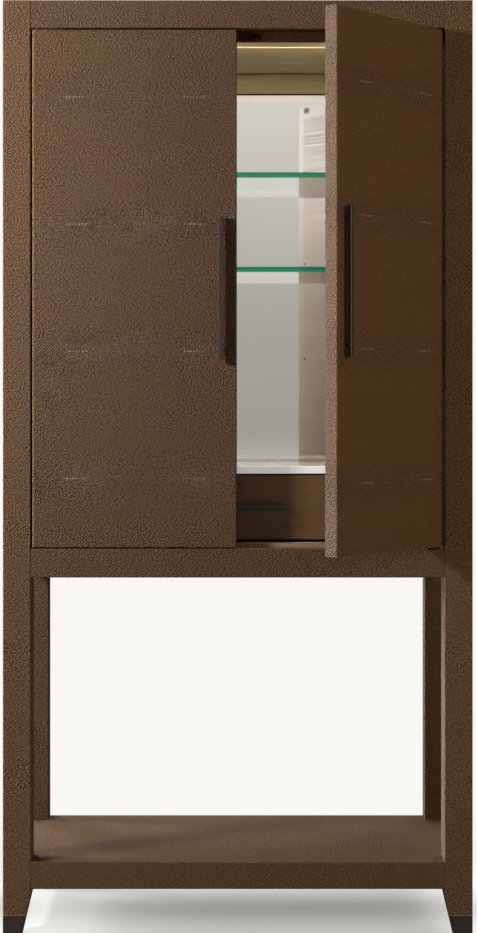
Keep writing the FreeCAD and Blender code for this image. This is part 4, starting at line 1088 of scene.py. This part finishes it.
# %% Screws in the drawer
BAR_BOLTS = (-0.08, 0.08)
front_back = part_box("drawer_front")[1].y
bar_low, bar_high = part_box("drawer_pull")
bar_middle = (bar_low.z + bar_high.z) / 2
bolts = [((x, front_back, bar_middle), BACK, BOLT_HEAD, STANDING) for x in BAR_BOLTS]
screw_on("drawer_screws", "drawer", bolts)

# %% [markdown]
# ## Floor
# The cabinet stands on a pale seamless floor. Far from it the floor is the white of the background, to the
# camera and through glass only, so that it throws no extra light. Near the cabinet it is plain diffuse paint
# with a faint glow to the camera, and the paint keeps the rendered shadow. The glow is shaped in soft steps
# into painted shade and painted light: less of it under the middle of the cabinet, far in front, behind and
# to its left, more just right of it.

# %% Floor
BACKGROUND = srgb(248, 247, 243)
FLOOR_REACH = 5.0
CORNERS = [(-1, -1), (1, -1), (1, 1), (-1, 1)]
floor_mesh = bpy.data.meshes.new("floor")
floor_mesh.from_pydata([(x * FLOOR_REACH, y * FLOOR_REACH, 0) for x, y in CORNERS], [], [(0, 1, 2, 3)])
floor = put_in_scene("floor", floor_mesh)
floor.visible_glossy = False
print("floor:", 2 * FLOOR_REACH, "m wide")

# %% Floor paint
PAINT = (0.55, 0.547, 0.537, 1)
FADE = (0.55, 1.3)
# Painted shade: the glow is weakest under the middle of the cabinet and grows towards its edges.
SHADE_MIDDLE, SHADE_REACH, SHADE_GLOW = 0.04, 0.26, (0.32, 0.53)
floor_paint, tree, shader, coordinates = new_material("floor_paint")
tree.nodes.remove(shader)
rays = add(tree, "ShaderNodeLightPath").outputs
seen = sum_up(tree, "MAXIMUM", rays["Is Camera Ray"], rays["Is Transmission Ray"])
from_middle = add(tree, "ShaderNodeVectorMath", {0: coordinates["Object"]}, operation="LENGTH")
far = sum_up(tree, "MULTIPLY", stretch(tree, from_middle.outputs["Value"], *FADE), seen)
across, depth, _ = split(tree, coordinates["Object"])
from_shade = sum_up(tree, "ABSOLUTE", sum_up(tree, "SUBTRACT", depth, SHADE_MIDDLE))
glow = stretch(tree, from_shade, 0.0, SHADE_REACH, *SHADE_GLOW, "SMOOTHSTEP")
# Steps of painted shade and painted light: less glow in front of, behind and left of the cabinet, more just
# right of it.
LIGHT_AND_SHADE_STEPS = (
    (depth, -0.20, -0.52, -0.27), (depth, 0.26, 0.52, -0.13),
    (across, -0.41, -0.68, -0.47), (across, 0.38, 0.54, 0.27), (across, 0.54, 0.80, -0.55),
)
for way, start, end, gain in LIGHT_AND_SHADE_STEPS:
    glow = sum_up(tree, "ADD", glow, stretch(tree, way, start, end, 0.0, gain, "SMOOTHSTEP"))
painted_light_and_shade = sum_up(tree, "MULTIPLY", seen, sum_up(tree, "MAXIMUM", glow, 0.0))
white = made(tree, "ShaderNodeEmission", {"Color": BACKGROUND, "Strength": 1.0})
faint = made(tree, "ShaderNodeEmission", {"Color": BACKGROUND, "Strength": painted_light_and_shade})
paint = made(tree, "ShaderNodeBsdfDiffuse", {"Color": PAINT})
near = made(tree, "ShaderNodeAddShader", {0: faint, 1: paint})
both = made(tree, "ShaderNodeMixShader", {0: far, 1: near, 2: white})
plug(tree, tree.nodes["Material Output"].inputs["Surface"], both)
floor_mesh.materials.append(floor_paint)
print("floor finish:", floor_paint.name)

# %% [markdown]
# ## World
# The background is white to the camera and through glass. It hardly lights the cabinet, because the lamps
# do that. Polished metal and the mirror need something to show, so in reflections there is a pale wall
# straight ahead of the cabinet, in soft level bands, and it is dim everywhere else.

# %% World
FILL, DIM = 0.02, 0.05
WALL_HEIGHT, WALL_EDGE = 0.15, (-0.975, -0.988)
WALL_LEVELS = [(0.0, 0.95), (0.33, 0.92), (0.45, 0.45), (0.6, 0.5), (0.85, 0.8), (1.0, 0.95)]
WALL_GREEN, WALL_BLUE = 0.97, 0.92
world = bpy.data.worlds.new("studio")
bpy.context.scene.world = world
world.use_nodes = True
tree = world.node_tree
rays = add(tree, "ShaderNodeLightPath").outputs
seen = sum_up(tree, "MAXIMUM", rays["Is Camera Ray"], rays["Is Transmission Ray"], clamp=True)
direction = split(tree, add(tree, "ShaderNodeTexCoord").outputs["Generated"])
wall = add(tree, "ShaderNodeValToRGB", {0: stretch(tree, direction[2], -WALL_HEIGHT, WALL_HEIGHT)})
ramp = wall.color_ramp.elements
while len(ramp) < len(WALL_LEVELS):
    ramp.new(0.5)
for element, (where, level) in zip(ramp, WALL_LEVELS):
    element.position = where
    element.color = (level, level * WALL_GREEN, level * WALL_BLUE, 1)
ahead = stretch(tree, direction[1], *WALL_EDGE)
shine = blend_colours(tree, ahead, (DIM, DIM, DIM, 1), wall.outputs[0])
colour = blend_colours(tree, rays["Is Glossy Ray"], (FILL, FILL, FILL, 1), shine)
colour = blend_colours(tree, seen, colour, BACKGROUND)
plug(tree, tree.nodes["Background"].inputs["Color"], colour)
bpy.context.scene.view_settings.view_transform = "Standard"
print("world:", world.name)

# %% [markdown]
# ## Lamps
# The main light comes from the upper left in front, as the bright left-hand edges show. A large soft lamp on
# the right fills its shadows, and three more light the side, the back and the top for the other views. The
# light strip in the ceiling is a lamp of its own, just below its cover, because a glowing cover alone gives
# a noisy light.

# %% Lamps
STRIP_GAP = 2 * MM
STRIP_COLOUR = (1.0, 0.95, 0.86)


def add_lamp(name, place, aim, size, watts, colour=(1, 1, 1), reflected=True):
    """A soft rectangular lamp that points at a place."""
    lamp = bpy.data.lights.new(name, "AREA")
    lamp.shape = "RECTANGLE"
    lamp.size, lamp.size_y = size
    lamp.energy = watts
    lamp.color = colour
    holder = put_in_scene(name, lamp)
    holder.location = place
    holder.rotation_euler = (Vector(aim) - Vector(place)).to_track_quat("-Z", "Y").to_euler()
    holder.visible_glossy = reflected


add_lamp("key", (-1.9, -1.35, 2.1), (-0.2, -0.3, 1.5), (0.35, 0.35), 47.5)
add_lamp("right_fill", (2.0, -1.7, 1.9), (0.2, -0.3, 1.3), (1.5, 1.5), 20, reflected=False)
add_lamp("side_fill", (-2.6, 0.65, 1.0), (0, -0.1, 0.5), (0.8, 0.8), 74)
add_lamp("back_fill", (-2.0, 2.2, 1.0), (0, 0, 0.7), (1.2, 1.2), 40)
add_lamp("top_fill", (0.6, 1.5, 3.4), (0, 0.1, 1.9), (1.5, 1.5), 40)
strip_low, strip_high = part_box("light_diffuser")
strip_middle = (strip_low + strip_high) / 2
below_strip = strip_middle.x, strip_middle.y, strip_low.z - STRIP_GAP
strip_size = strip_high.x - strip_low.x, strip_high.y - strip_low.y
add_lamp(
    "ceiling_light", below_strip, (strip_middle.x, strip_middle.y, 0), strip_size, 6.0,
    STRIP_COLOUR, reflected=False,
)
print("lamps:", ", ".join(lamp.name for lamp in bpy.data.lights))
